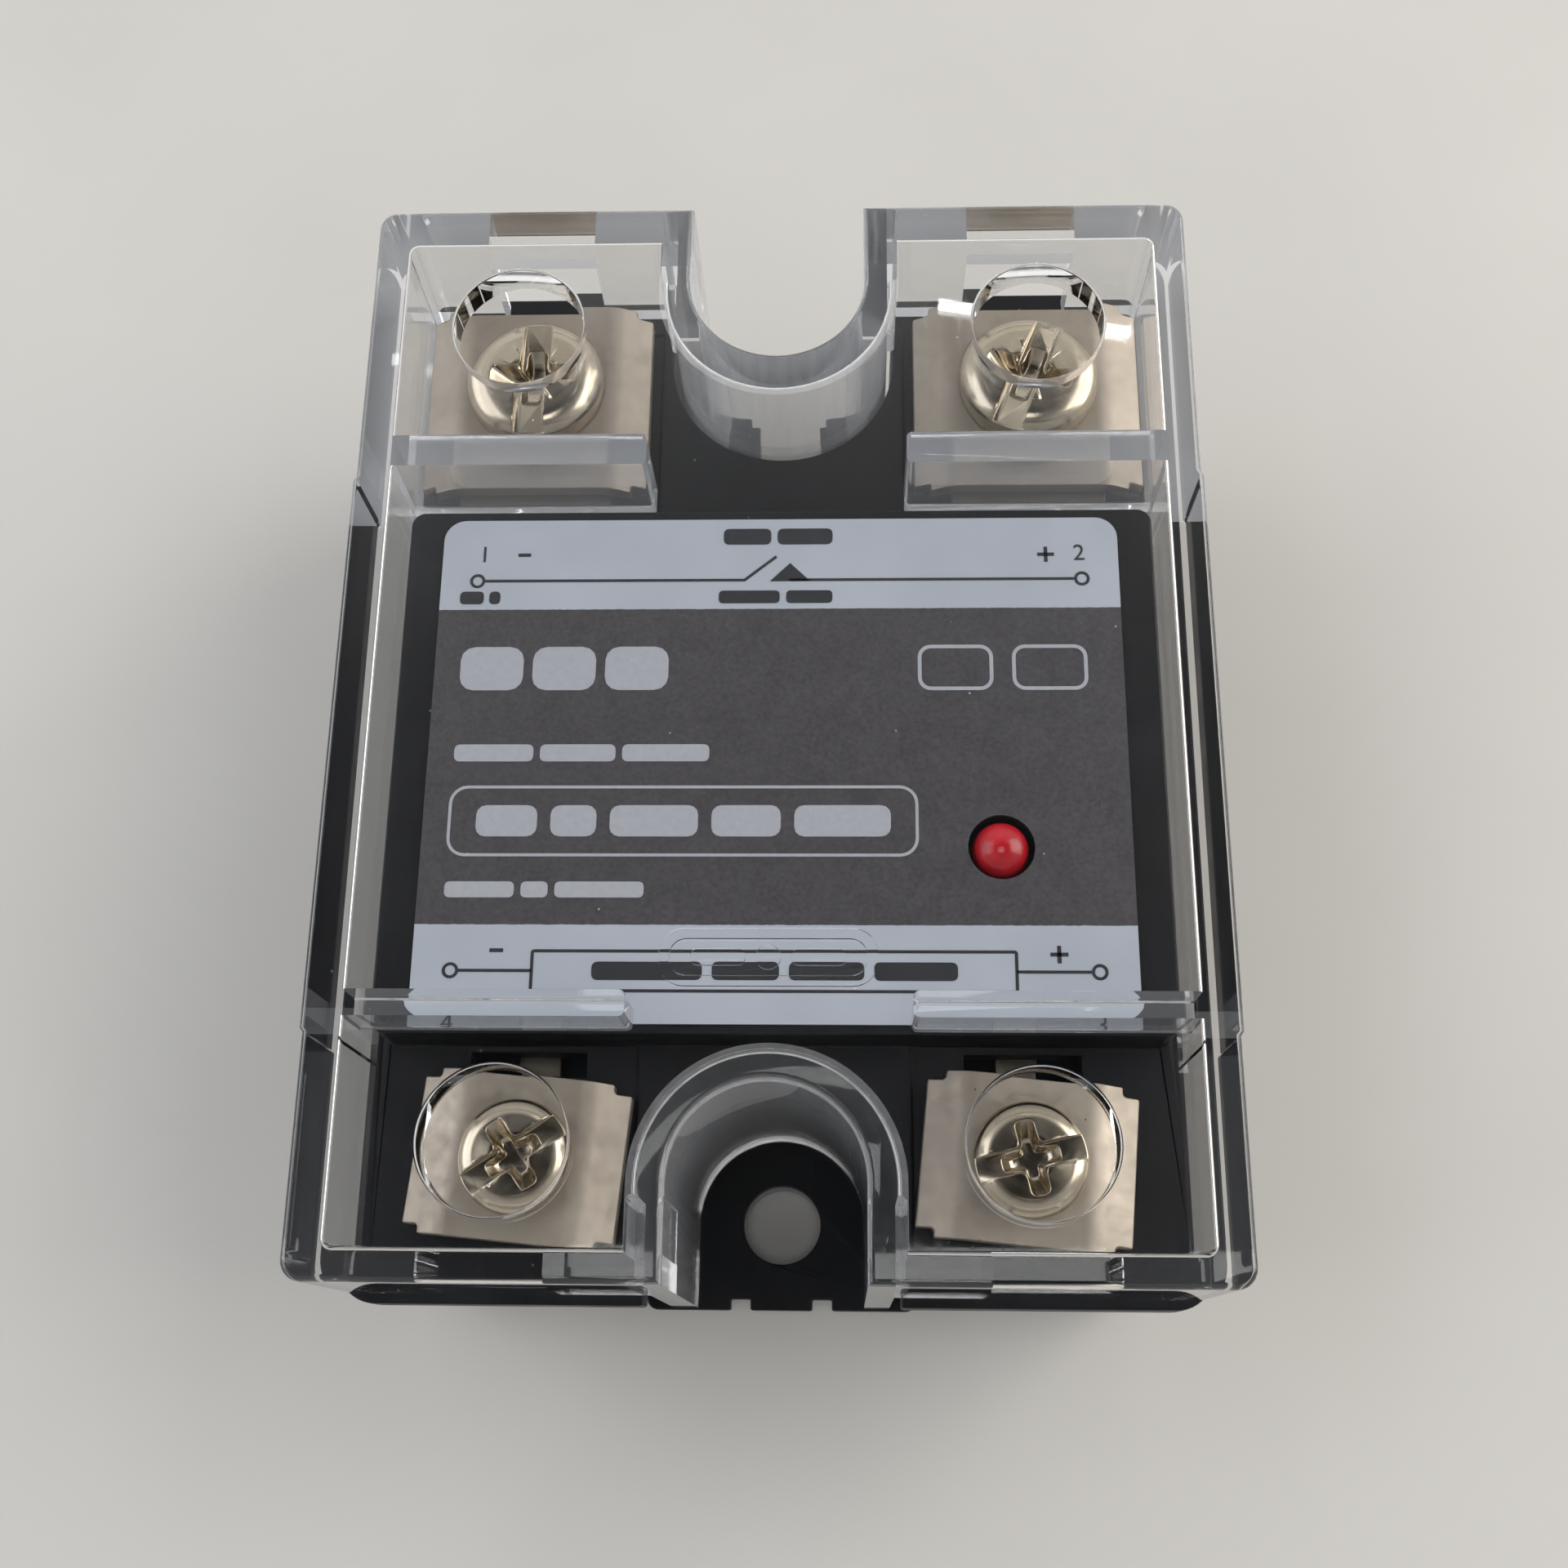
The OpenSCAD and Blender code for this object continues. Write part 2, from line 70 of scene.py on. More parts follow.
OUT_X, OUT_Y = 13.95, 21.2
IN_X, IN_Y = 12.7, 22.2
IN_CLAMP_TURN = math.radians(-5.5)
CLAMP_T, CLAMP_DROP, WING_W = 0.9, 1.0, 2.0
WING_BEND, CLAMP_NOTCH = 2.6, 0.9
OUT_CLAMP = (12.8, 10.6, 2.05)     # width, length, hole radius
IN_CLAMP = (10.6, 8.2, 1.55)
OUT_SCREW = (2.0, 3.9, 2.0, 0.7)   # shank radius, head radius, head height, thread pitch
IN_SCREW = (1.5, 2.85, 1.75, 0.5)
OUT_TURNS, IN_TURNS = (88, 68), (34, 13)           # each slot's angle, left and right
SCREW_TIP = 10.5

LED_X, LED_Y, LED_R, LED_TIP = 11.67, -6.45, 1.5, 19.85
BAND_FAR, BAND_NEAR = 6.95, -10.6  # where the label's dark band starts and ends
INK_T = 0.02

COVER_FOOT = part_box("housing")[1].z / MM - 3.0     # the cover's lower edge
COVER_Z = (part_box("cover")[1] / MM).z - BADGE_H    # the cover's upper face
CLAMP_TOP = (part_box("output_clamp_left")[1] / MM).z
LABEL_TOP = (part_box("label")[1] / MM).z


# ---- small helpers -------------------------------------------------------------

def linear(code):
    """An sRGB hex colour as linear RGBA."""
    parts = [int(code[i:i + 2], 16) / 255 for i in (1, 3, 5)]
    return tuple(p / 12.92 if p <= 0.04045 else ((p + 0.055) / 1.055) ** 2.4 for p in parts) + (1,)


def per(size_mm):
    """A texture scale that gives one feature every size_mm."""
    return 1 / (size_mm * MM)


def add(tree, kind, inputs=None, **settings):
    """Adds a node. An input's value is a number, a colour or the socket that feeds it."""
    node = tree.nodes.new(kind)
    for name, value in settings.items():
        setattr(node, name, value)
    for name, value in (inputs or {}).items():
        if isinstance(value, bpy.types.NodeSocket):
            tree.links.new(value, node.inputs[name])
        else:
            node.inputs[name].default_value = value
    return node


def material(name):
    """A new material's tree, its Principled shader and its object coordinates."""
    mat = bpy.data.materials.new(name)
    mat.use_nodes = True
    tree = mat.node_tree
    shader = tree.nodes["Principled BSDF"]
    coords = add(tree, "ShaderNodeTexCoord").outputs["Object"]
    return mat, tree, shader, coords


def noise(tree, coords, size, detail=2.0, stretch=None):
    """Noise with features of size mm, drawn out along an axis by stretch."""
    if stretch:
        coords = add(tree, "ShaderNodeMapping", {"Vector": coords, "Scale": stretch}).outputs[0]
    return add(tree, "ShaderNodeTexNoise",
               {"Vector": coords, "Scale": per(size), "Detail": detail}).outputs["Fac"]


def ramp(tree, factor, stops):
    """Colours or greys along a factor, from (place, hex colour or grey) stops."""
    node = add(tree, "ShaderNodeValToRGB", {"Fac": factor})
    band = node.color_ramp
    while len(band.elements) < len(stops):
        band.elements.new(0.5)
    for element, (place, value) in zip(band.elements, stops):
        element.position = place
        element.color = linear(value) if isinstance(value, str) else (value, value, value, 1)
    return node.outputs["Color"]


def mix(tree, factor, a, b):
    """Colour a, with b over it where factor is 1."""
    node = add(tree, "ShaderNodeMix", {"Factor": factor}, data_type="RGBA")
    for socket, value in ((node.inputs[6], a), (node.inputs[7], b)):
        if isinstance(value, bpy.types.NodeSocket):
            tree.links.new(value, socket)
        else:
            socket.default_value = linear(value)
    return node.outputs[2]


def bump(tree, shader, height, depth_mm, strength=1.0):
    """Feeds a height field to the shader's normal."""
    node = add(tree, "ShaderNodeBump",
               {"Height": height, "Distance": depth_mm * MM, "Strength": strength})
    tree.links.new(node.outputs["Normal"], shader.inputs["Normal"])


def calc(tree, operation, *values):
    """One step of arithmetic on numbers and sockets."""
    return add(tree, "ShaderNodeMath", dict(enumerate(values)), operation=operation).outputs[0]


def within(tree, value, low_mm, high_mm):
    """1 where a coordinate lies between two places, else 0."""
    over = calc(tree, "GREATER_THAN", value, low_mm * MM)
    return calc(tree, "MULTIPLY", over, calc(tree, "LESS_THAN", value, high_mm * MM))


def specks(tree, coords, spacing, radius, share):
    """Scattered round specks: 1 inside a speck, on a share of the cells."""
    cells = add(tree, "ShaderNodeTexVoronoi", {"Vector": coords, "Scale": per(spacing)})
    near = calc(tree, "LESS_THAN", cells.outputs["Distance"], radius / spacing)
    tint = add(tree, "ShaderNodeSeparateColor", {"Color": cells.outputs["Color"]}).outputs[0]
    return calc(tree, "MULTIPLY", near, calc(tree, "LESS_THAN", tint, share))


# ---- finishes ------------------------------------------------------------------

def housing_plastic():
    """Black glass-filled polyester, spark-eroded mould: soft sheen, fine grain, settled dust."""
    mat, tree, shader, coords = material("moulded_black_polyester")
    tone = ramp(tree, noise(tree, coords, 7), [(0.3, "#0F1011"), (0.7, "#17181A")])
    dust = specks(tree, coords, 1.7, 0.07, 0.35)
    tree.links.new(mix(tree, dust, tone, "#6E6D6A"), shader.inputs["Base Color"])
    tree.links.new(ramp(tree, noise(tree, coords, 2.5, 4), [(0.3, 0.36), (0.7, 0.52)]),
                   shader.inputs["Roughness"])
    bump(tree, shader, noise(tree, coords, 0.16, 3), 0.008, 0.4)
    shader.inputs["IOR"].default_value = 1.55
    shader.inputs["Specular IOR Level"].default_value = 0.18
    return mat


def dust_and_painted_sheen(tree, coords):
    """How much whitish frost the cover gets from place to place: painted sheen on its sleeves, feet
    and ribs, and real dust specks.
    """
    x, y, z = add(tree, "ShaderNodeSeparateXYZ", {"Vector": coords}).outputs
    inward = calc(tree, "SUBTRACT", MOUNT_Y * MM, calc(tree, "ABSOLUTE", y))
    inward = calc(tree, "MAXIMUM", inward, 0.0)
    reach = calc(tree, "SQRT", calc(tree, "ADD", calc(tree, "MULTIPLY", x, x),
                                    calc(tree, "MULTIPLY", inward, inward)))
    on_sleeve = calc(tree, "MULTIPLY", within(tree, z, 0, COVER_Z - 0.1),
                     calc(tree, "LESS_THAN", reach, (RAIL_X + 0.05) * MM))
    middle = within(tree, y, *COVER_STEP_Y)
    on_foot = calc(tree, "MULTIPLY", within(tree, z, 0, COVER_FOOT + 0.03),
                   calc(tree, "SUBTRACT", 1.0, middle))
    # painted sheen on the sleeves, whitish in faint upright streaks
    streaks = noise(tree, coords, 0.6, 3, stretch=(1, 1, 0.05))
    sleeve_sheen = calc(tree, "MULTIPLY", on_sleeve, calc(tree, "MULTIPLY_ADD", streaks, 0.2, SLEEVE_PAINTED_SHEEN))
    # less of the painted sheen at the input end: a clearer sleeve, and feet with hardly any whitish
    # frost
    near = calc(tree, "LESS_THAN", y, 0.0)
    sleeve_sheen = calc(tree, "MULTIPLY", sleeve_sheen, calc(tree, "MULTIPLY_ADD", near, -SLEEVE_LESS, 1.0))
    foot_sheen = calc(tree, "MULTIPLY", calc(tree, "MULTIPLY_ADD", near, -FOOT_LESS, 1.0), FOOT_PAINTED_SHEEN)
    painted_sheen = calc(tree, "MAXIMUM", sleeve_sheen, calc(tree, "MULTIPLY", on_foot, foot_sheen))
    # painted sheen on the partitions: whitish by their feet, faint above
    for face, thickness, foot in (FAR_RIB, NEAR_RIB):
        on_rib = calc(tree, "MULTIPLY", within(tree, y, face - 0.02, face + thickness + 0.02),
                      calc(tree, "GREATER_THAN", calc(tree, "ABSOLUTE", x), (RIB_X - 0.1) * MM))
        low = calc(tree, "MULTIPLY", within(tree, z, 0, foot + 0.2), foot_sheen)
        thin = calc(tree, "MULTIPLY", within(tree, z, 0, COVER_Z - COVER_TOP - 0.1), RIB_PAINTED_SHEEN)
        rib_sheen = calc(tree, "MULTIPLY", on_rib, calc(tree, "MAXIMUM", low, thin))
        painted_sheen = calc(tree, "MAXIMUM", painted_sheen, rib_sheen)
    dust = calc(tree, "MULTIPLY", specks(tree, coords, 1.9, 0.045, 0.3), 0.6)
    return calc(tree, "MAXIMUM", painted_sheen, dust)


def clear_polycarbonate():
    """Clear moulded polycarbonate: it bends light and lets lamps in. On the sleeves, partitions and
    feet a whitish frost is painted sheen, in place of the reflections and light through the walls that
    clear plastic shows there."""
    mat, tree, shader, coords = material("clear_polycarbonate")
    shader.inputs["Base Color"].default_value = linear("#F6F6F6")
    shader.inputs["IOR"].default_value = 1.52
    # painted sheen: less light passes where the whitish frost is, so those stretches look lit
    tree.links.new(calc(tree, "SUBTRACT", 1.0, dust_and_painted_sheen(tree, coords)),
                   shader.inputs["Transmission Weight"])
    scuffs = noise(tree, coords, 0.5, 3, stretch=(1, 0.06, 1))
    tree.links.new(ramp(tree, scuffs, [(0.55, 0.012), (0.75, 0.06)]), shader.inputs["Roughness"])
    # shadows and bounced light go straight through, so that the lamps reach what is underneath
    path = add(tree, "ShaderNodeLightPath").outputs
    open_to = calc(tree, "MAXIMUM", path["Is Shadow Ray"], path["Is Diffuse Ray"])
    clear = add(tree, "ShaderNodeBsdfTransparent", {"Color": linear("#F0F2F5")})
    both = add(tree, "ShaderNodeMixShader",
               {0: open_to, 1: shader.outputs[0], 2: clear.outputs[0]})
    tree.links.new(both.outputs[0], tree.nodes["Material Output"].inputs["Surface"])
    return mat


def nickel_plate(name, tone_a, tone_b, rough, spread, grain_depth):
    """Nickel plating over steel or brass, barrel tumbled: warm grey metal with a cloudy sheen.
    Rolled strip keeps its grain, and a cold-headed screw comes out smooth and bright."""
    mat, tree, shader, coords = material(name)
    tone = ramp(tree, noise(tree, coords, 3.2, 3), [(0.3, tone_a), (0.7, tone_b)])
    pits = specks(tree, coords, 1.1, 0.05, 0.3)
    tree.links.new(mix(tree, pits, tone, "#5A5044"), shader.inputs["Base Color"])
    shader.inputs["Metallic"].default_value = 1.0
    tree.links.new(ramp(tree, noise(tree, coords, 0.7, 4), [(0.3, rough), (0.7, rough + spread)]),
                   shader.inputs["Roughness"])
    bump(tree, shader, noise(tree, coords, 0.12, 3), grain_depth, 0.4)
    return mat


def rolled_aluminium():
    """Bare rolled aluminium plate: fine straight grain along its length."""
    mat, tree, shader, coords = material("rolled_aluminium")
    grain = noise(tree, coords, 0.18, 4, stretch=(1, 0.03, 1))
    tree.links.new(ramp(tree, grain, [(0.3, "#A9ACB0"), (0.7, "#C6C8CB")]),
                   shader.inputs["Base Color"])
    shader.inputs["Metallic"].default_value = 1.0
    tree.links.new(ramp(tree, grain, [(0.3, 0.3), (0.7, 0.46)]), shader.inputs["Roughness"])
    bump(tree, shader, grain, 0.004, 0.5)
    return mat


def printed_film():
    """Printed polyester label film: a dark band between two pale ones, with a faint ink grain."""
    mat, tree, shader, coords = material("printed_label_film")
    y = add(tree, "ShaderNodeSeparateXYZ", {"Vector": coords}).outputs["Y"]
    ragged = calc(tree, "MULTIPLY_ADD", noise(tree, coords, 0.25, 2), 0.08 * MM, -0.04 * MM)
    band = within(tree, calc(tree, "ADD", y, ragged), BAND_NEAR, BAND_FAR)
    pale = ramp(tree, noise(tree, coords, 5, 2), [(0.3, "#B4B8BE"), (0.7, "#BBBFC5")])
    dark = ramp(tree, noise(tree, coords, 0.22, 2), [(0.3, "#3B383A"), (0.7, "#4B4849")])
    dusty = mix(tree, specks(tree, coords, 1.5, 0.05, 0.25), mix(tree, band, pale, dark), "#B9B7B3")
    tree.links.new(dusty, shader.inputs["Base Color"])
    tree.links.new(ramp(tree, noise(tree, coords, 1.4, 3), [(0.3, 0.38), (0.7, 0.5)]),
                   shader.inputs["Roughness"])
    bump(tree, shader, noise(tree, coords, 0.2, 2), 0.004, 0.4)
    return mat


def screen_ink(name, code):
    """Screen-printed ink: nearly flat colour, a little uneven in its cover."""
    mat, tree, shader, coords = material(name)
    pale = tuple(min(1.0, c * 1.25) for c in linear(code))
    cover = noise(tree, coords, 0.35, 2)
    node = add(tree, "ShaderNodeMix", {"Factor": cover}, data_type="RGBA")
    node.inputs[6].default_value = linear(code)
    node.inputs[7].default_value = pale
    tree.links.new(node.outputs[2], shader.inputs["Base Color"])
    tree.links.new(ramp(tree, cover, [(0.3, 0.4), (0.7, 0.5)]), shader.inputs["Roughness"])
    return mat


def tinted_epoxy_lens():
    """Red diffused epoxy of a 3 mm lamp: deep, glossy and cloudy inside."""
    mat, tree, shader, coords = material("red_diffused_epoxy")
    tree.links.new(ramp(tree, noise(tree, coords, 1.2, 2), [(0.3, "#B0141F"), (0.7, "#D4222E")]),
                   shader.inputs["Base Color"])
    tree.links.new(ramp(tree, noise(tree, coords, 0.5, 2), [(0.3, 0.12), (0.7, 0.2)]),
                   shader.inputs["Roughness"])
    shader.inputs["Subsurface Weight"].default_value = 0.35
    shader.inputs["Subsurface Radius"].default_value = (0.0012, 0.0002, 0.0002)
    shader.inputs["Subsurface Scale"].default_value = 1.0
    shader.inputs["IOR"].default_value = 1.54
    return mat


def mottled(name, tone_a, tone_b, size, rough, metal=0.0, grain=0.2, depth=0.004):
    """A plain workshop finish: two close tones in patches, with a fine grain of its own size."""
    mat, tree, shader, coords = material(name)
    tree.links.new(ramp(tree, noise(tree, coords, size, 3), [(0.35, tone_a), (0.65, tone_b)]),
                   shader.inputs["Base Color"])
    tree.links.new(ramp(tree, noise(tree, coords, size / 2, 3),
                        [(0.3, rough), (0.7, min(1.0, rough + 0.12))]), shader.inputs["Roughness"])
    shader.inputs["Metallic"].default_value = metal
    bump(tree, shader, noise(tree, coords, grain, 3), depth, 0.5)
    return mat


def solder_mask():
    """Green solder mask over glass-epoxy board, with copper tracks showing paler through it."""
    mat, tree, shader, coords = material("green_solder_mask")
    tracks = add(tree, "ShaderNodeTexBrick",
                 {"Vector": coords, "Scale": per(1), "Brick Width": 6.5, "Row Height": 1.7,
                  "Mortar Size": 0.16, "Mortar Smooth": 0.2,
                  "Color1": linear("#1D5B33"), "Color2": linear("#206238"),
                  "Mortar": linear("#3F8D55")})
    tree.links.new(tracks.outputs["Color"], shader.inputs["Base Color"])
    tree.links.new(ramp(tree, noise(tree, coords, 3, 2), [(0.3, 0.3), (0.7, 0.42)]),
                   shader.inputs["Roughness"])
    bump(tree, shader, tracks.outputs["Fac"], 0.03, 0.6)
    return mat


def banded_lacquer():
    """Blue resistor lacquer with coloured value bands round the body, which lies along Y."""
    mat, tree, shader, coords = material("banded_resistor_lacquer")
    rings = add(tree, "ShaderNodeTexWave", {"Vector": coords, "Scale": per(1) * 0.31,
                                            "Distortion": 0.0}, bands_direction="Y").outputs["Fac"]
    tone = ramp(tree, rings, [(0.0, "#7FA3C6"), (0.62, "#86A9CA"), (0.7, "#5B2F1F"), (0.9, "#3A2018")])
    tree.links.new(tone, shader.inputs["Base Color"])
    tree.links.new(ramp(tree, noise(tree, coords, 0.6, 2), [(0.3, 0.2), (0.7, 0.32)]),
                   shader.inputs["Roughness"])
    return mat


BLACK = housing_plastic()
CLEAR = clear_polycarbonate()
STRIP = nickel_plate("tumbled_nickel_strip", "#90877B", "#9E9589", 0.44, 0.14, 0.006)
FASTENER = nickel_plate("nickel_plated_steel", "#B2A794", "#C0B6A4", 0.18, 0.06, 0.0015)
PLATE = rolled_aluminium()
FILM = printed_film()
DARK_INK = screen_ink("black_screen_ink", "#232427")
PALE_INK = screen_ink("pale_grey_screen_ink", "#A9A9AD")
LENS = tinted_epoxy_lens()

FINISHES = {
    "base_plate": PLATE, "housing": BLACK, "label": FILM, "cover": CLEAR, "led_lens": LENS,
    # soft silicone poured over the power stage: dark, wet-looking
    "potting_gel": mottled("silicone_gel", "#30343A", "#3B4047", 6, 0.16, grain=1.5, depth=0.02),
    # fired alumina, off-white with a dry matte skin
    "ceramic_substrate": mottled("fired_alumina", "#E2DFD4", "#ECEAE2", 2, 0.55),
    # bare etched copper, a little tarnished
    "copper_pads": mottled("etched_copper", "#B4693C", "#C67F4E", 1.5, 0.3, metal=1.0),
    "chip_clips": mottled("formed_copper", "#B9713F", "#CF8A5A", 0.9, 0.24, metal=1.0),
    # polished silicon dies, blue-grey
    "power_chips": mottled("polished_silicon", "#4A5058", "#5A626C", 0.8, 0.14, metal=0.4),
    "control_board": solder_mask(),
    # moulded epoxy packages
    "optocoupler": mottled("white_moulded_epoxy", "#DEDBCF", "#E8E5DA", 1.2, 0.5),
    "driver_chip": mottled("black_moulded_epoxy", "#1D1E20", "#27282B", 0.9, 0.5),
    "surge_suppressor": mottled("charcoal_moulded_epoxy", "#2B2C2F", "#37383C", 1.3, 0.46),
    # lacquered bodies with value bands
    "resistors": banded_lacquer(),
    # shrunk plastic sleeve over an aluminium can
    "capacitor": mottled("blue_shrink_sleeve", "#2C3F78", "#35498A", 2, 0.26),
    # fused glass, amber and shiny
    "diodes": mottled("amber_diode_glass", "#9E4520", "#B5562C", 0.8, 0.12),
    # square pins, flashed with gold
    "board_pins": mottled("gold_flashed_brass", "#C29A45", "#D2AC5A", 0.7, 0.24, metal=1.0),
    # hot-dipped wire, dull silver
    "led_leads": mottled("tinned_wire", "#B9BBBD", "#C8CACC", 0.6, 0.3, metal=1.0),
}
for kind in ("output", "input"):
    for side in ("left", "right"):
        FINISHES[f"{kind}_terminal_{side}"] = STRIP
        FINISHES[f"{kind}_clamp_{side}"] = STRIP
        FINISHES[f"{kind}_nut_{side}"] = FASTENER
        FINISHES[f"{kind}_screw_{side}"] = FASTENER
for node_name, finish in FINISHES.items():
    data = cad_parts[node_name].data
    data.materials.clear()
    data.materials.append(finish)


# ---- mesh tools ----------------------------------------------------------------

def arc(cx, cy, radius, start, end, steps):
    """Points along an arc, angles in degrees, both ends included."""
    turns = [math.radians(start + (end - start) * i / steps) for i in range(steps + 1)]
    return [(cx + radius * math.cos(t), cy + radius * math.sin(t)) for t in turns]


def rounded(cx, cy, width, length, radius, steps=6):
    """A rounded rectangle's outline, anticlockwise."""
    x, y = width / 2 - radius, length / 2 - radius
    corners = ((x, y, 0), (-x, y, 90), (-x, -y, 180), (x, -y, 270))
    return [p for dx, dy, a in corners for p in arc(cx + dx, cy + dy, radius, a, a + 90, steps)]


def loft(name, rings, finish=None):
    """A closed solid through rings of (outline, z), all with the same number of points."""
    bm = bmesh.new()
    levels = [[bm.verts.new((x * MM, y * MM, z * MM)) for x, y in outline] for outline, z in rings]
    for low, high in zip(levels, levels[1:]):
        for i in range(len(low)):
            j = (i + 1) % len(low)
            bm.faces.new((low[i], low[j], high[j], high[i]))
    bm.faces.new(list(reversed(levels[0])))
    bm.faces.new(levels[-1])
    return solid(name, bm, finish)


def face_outwards(bm):
    """Points every closed shell's faces outwards, by the sign of the volume inside it."""
    bmesh.ops.recalc_face_normals(bm, faces=bm.faces)
    bm.normal_update()
    waiting = set(bm.faces)
    while waiting:
        shell = [waiting.pop()]
        for face in shell:
            beside = {f for edge in face.edges for f in edge.link_faces} & waiting
            waiting -= beside
            shell += beside
        volume = sum(f.calc_center_median().dot(f.normal) * f.calc_area() for f in shell) / 3
        if volume < 0:
            bmesh.ops.reverse_faces(bm, faces=shell)


def solid(name, bm, finish=None):
    """An object at the origin from a bmesh, with its faces pointing outwards."""
    bmesh.ops.remove_doubles(bm, verts=bm.verts, dist=1e-7)
    face_outwards(bm)
    data = bpy.data.meshes.new(name)
    bm.to_mesh(data)
    bm.free()
    obj = bpy.data.objects.new(name, data)
    bpy.context.scene.collection.objects.link(obj)
    if finish:
        data.materials.append(finish)
    return obj


def prism(name, outline, z0, z1, finish=None):
    """A straight solid of one outline between two levels."""
    return loft(name, [(outline, z0), (outline, z1)], finish)


def bake(obj):
    """Turns an object's modifiers into plain mesh."""
    graph = bpy.context.evaluated_depsgraph_get()
    graph.update()
    data = bpy.data.meshes.new_from_object(obj.evaluated_get(graph))
    obj.modifiers.clear()
    obj.data = data
    return obj


def combine(obj, tools, operation):
    """Adds tools to obj or cuts them from it, and deletes them."""
    for tool in tools:
        step = obj.modifiers.new("step", "BOOLEAN")
        step.solver = "EXACT"
        step.object = tool
        step.operation = operation
        bake(obj)
        bpy.data.objects.remove(tool)
    return obj


def smooth(obj, degrees=28):
    """Smooth shading, kept sharp past an angle, with the large flat faces left flat."""
    for polygon in obj.data.polygons:
        polygon.use_smooth = True
    obj.data.set_sharp_from_angle(angle=math.radians(degrees))
    weigh = obj.modifiers.new("weigh", "WEIGHTED_NORMAL")
    weigh.mode = "FACE_AREA"
    weigh.weight = 100
    weigh.keep_sharp = True
    return bake(obj)


def plain_triangles(obj):
    """Cuts every face into triangles, so that no face bridges a hollow once an edge moves."""
    bm = bmesh.new()
    bm.from_mesh(obj.data)
    bmesh.ops.remove_doubles(bm, verts=bm.verts, dist=2e-6)
    bmesh.ops.triangulate(bm, faces=bm.faces, ngon_method="EAR_CLIP")
    bm.to_mesh(obj.data)
    bm.free()
    return obj


def eased(obj, width, segments=2, degrees=32):
    """Rounds an object's edges, as a tool or a tumbling barrel leaves them."""
    edge = obj.modifiers.new("edge", "BEVEL")
    edge.width = width * MM
    edge.segments = segments
    edge.limit_method = "ANGLE"
    edge.angle_limit = math.radians(degrees)
    edge.use_clamp_overlap = False
    edge.harden_normals = False
    return smooth(bake(obj), degrees)


def from_node(node_name, piece_name, finish):
    """A merged copy of a CAD node's mesh, its flat faces rejoined and cut into plain triangles."""
    bm = bmesh.new()
    bm.from_mesh(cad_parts[node_name].data)
    bmesh.ops.remove_doubles(bm, verts=bm.verts, dist=2e-6)
    bmesh.ops.dissolve_limit(bm, angle_limit=math.radians(0.5), verts=bm.verts, edges=bm.edges)
    bmesh.ops.triangulate(bm, faces=bm.faces, ngon_method="EAR_CLIP")
    return solid(piece_name, bm, finish)


def lathe(name, profile, cx, cy, steps, finish=None):
    """A solid of revolution about a vertical axis, from (radius, z) points, bottom to top."""
    rings = [(arc(cx, cy, max(r, 0.001), 0, 360, steps)[:-1], z) for r, z in profile]
    return loft(name, rings, finish)


def place(obj, x, y, turn=0.0):
    """Moves an object's own mesh to a place, so that the object stays at the origin."""
    obj.data.transform(Matrix.Translation((x * MM, y * MM, 0)) @ Matrix.Rotation(turn, 4, "Z"))
    return obj


def adopt(piece, body, *nodes):
    """Lets a piece ride on a body in place of the CAD nodes that it stands for."""
    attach(piece, body)
    if nodes:
        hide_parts(*nodes)
    return piece


# ---- clear cover ---------------------------------------------------------------

def notched(width, length, notch, inset=0.0, corner=1.0, step=0.0):
    """A rectangle's outline with a U bitten from each end, drawn in by inset all round."""
    x, y, bite = width / 2 - inset, length / 2 - inset, notch + inset
    radius = max(corner - inset, 0.08)
    y0, y1 = COVER_STEP_Y
    half = [(bite, -y)]
    half += arc(x - radius, -y + radius, radius, -90, 0, 6)
    half += [(x, y0 - 0.1), (x + step, y0 + 0.1), (x + step, y1 - 0.1), (x, y1 + 0.1)]
    half += arc(x - radius, y - radius, radius, 0, 90, 6)
    half += [(bite, y)]
    far_bite = arc(0, MOUNT_Y, bite, 0, -180, 40)
    near_bite = arc(0, -MOUNT_Y, bite, 180, 0, 40)
    mirrored = [(-px, py) for px, py in reversed(half)]
    return half + far_bite + mirrored + near_bite


def filleted_prism(name, outline_at, z0, z1, radius, steps=5):
    """A prism whose top edge is rounded: outline_at(inset) gives each level's outline."""
    rings = [(outline_at(0), z0)]
    for i in range(steps + 1):
        t = math.pi / 2 * i / steps
        rings.append((outline_at(radius * (1 - math.cos(t))), z1 - radius * (1 - math.sin(t))))
    return loft(name, rings)


def partition(side, y0, thickness, foot):
    """A hanging wall under the cover's top, rounded at its foot and its free end."""
    inner = COVER_W / 2 - COVER_WALL + 0.5
    width = inner - RIB_X
    cx = side * (RIB_X + width / 2)
    rings = []
    for inset, z in ((0.25, foot), (0.07, foot + 0.08), (0, foot + 0.25), (0, COVER_Z - 0.6)):
        outline = rounded(cx, y0 + thickness / 2, width - 2 * inset, thickness - 2 * inset, 0.3, 4)
        rings.append((outline, z))
    return loft("partition", rings)


def sleeve(sign):
    """The lower stretch of a U sleeve, from the cover's foot down to the recess floor."""
    out_r, y_end = SLEEVE_R + SLEEVE_WALL, COVER_L / 2
    outer = [(out_r, y_end)] + arc(0, MOUNT_Y, out_r, 0, -180, 48) + [(-out_r, y_end)]
    inner = [(-SLEEVE_R, y_end)] + arc(0, MOUNT_Y, SLEEVE_R, -180, 0, 48) + [(SLEEVE_R, y_end)]
    outline = [(x, sign * y) for x, y in outer + inner]
    return prism("sleeve", outline, SLEEVE_FOOT, COVER_FOOT + 0.4)


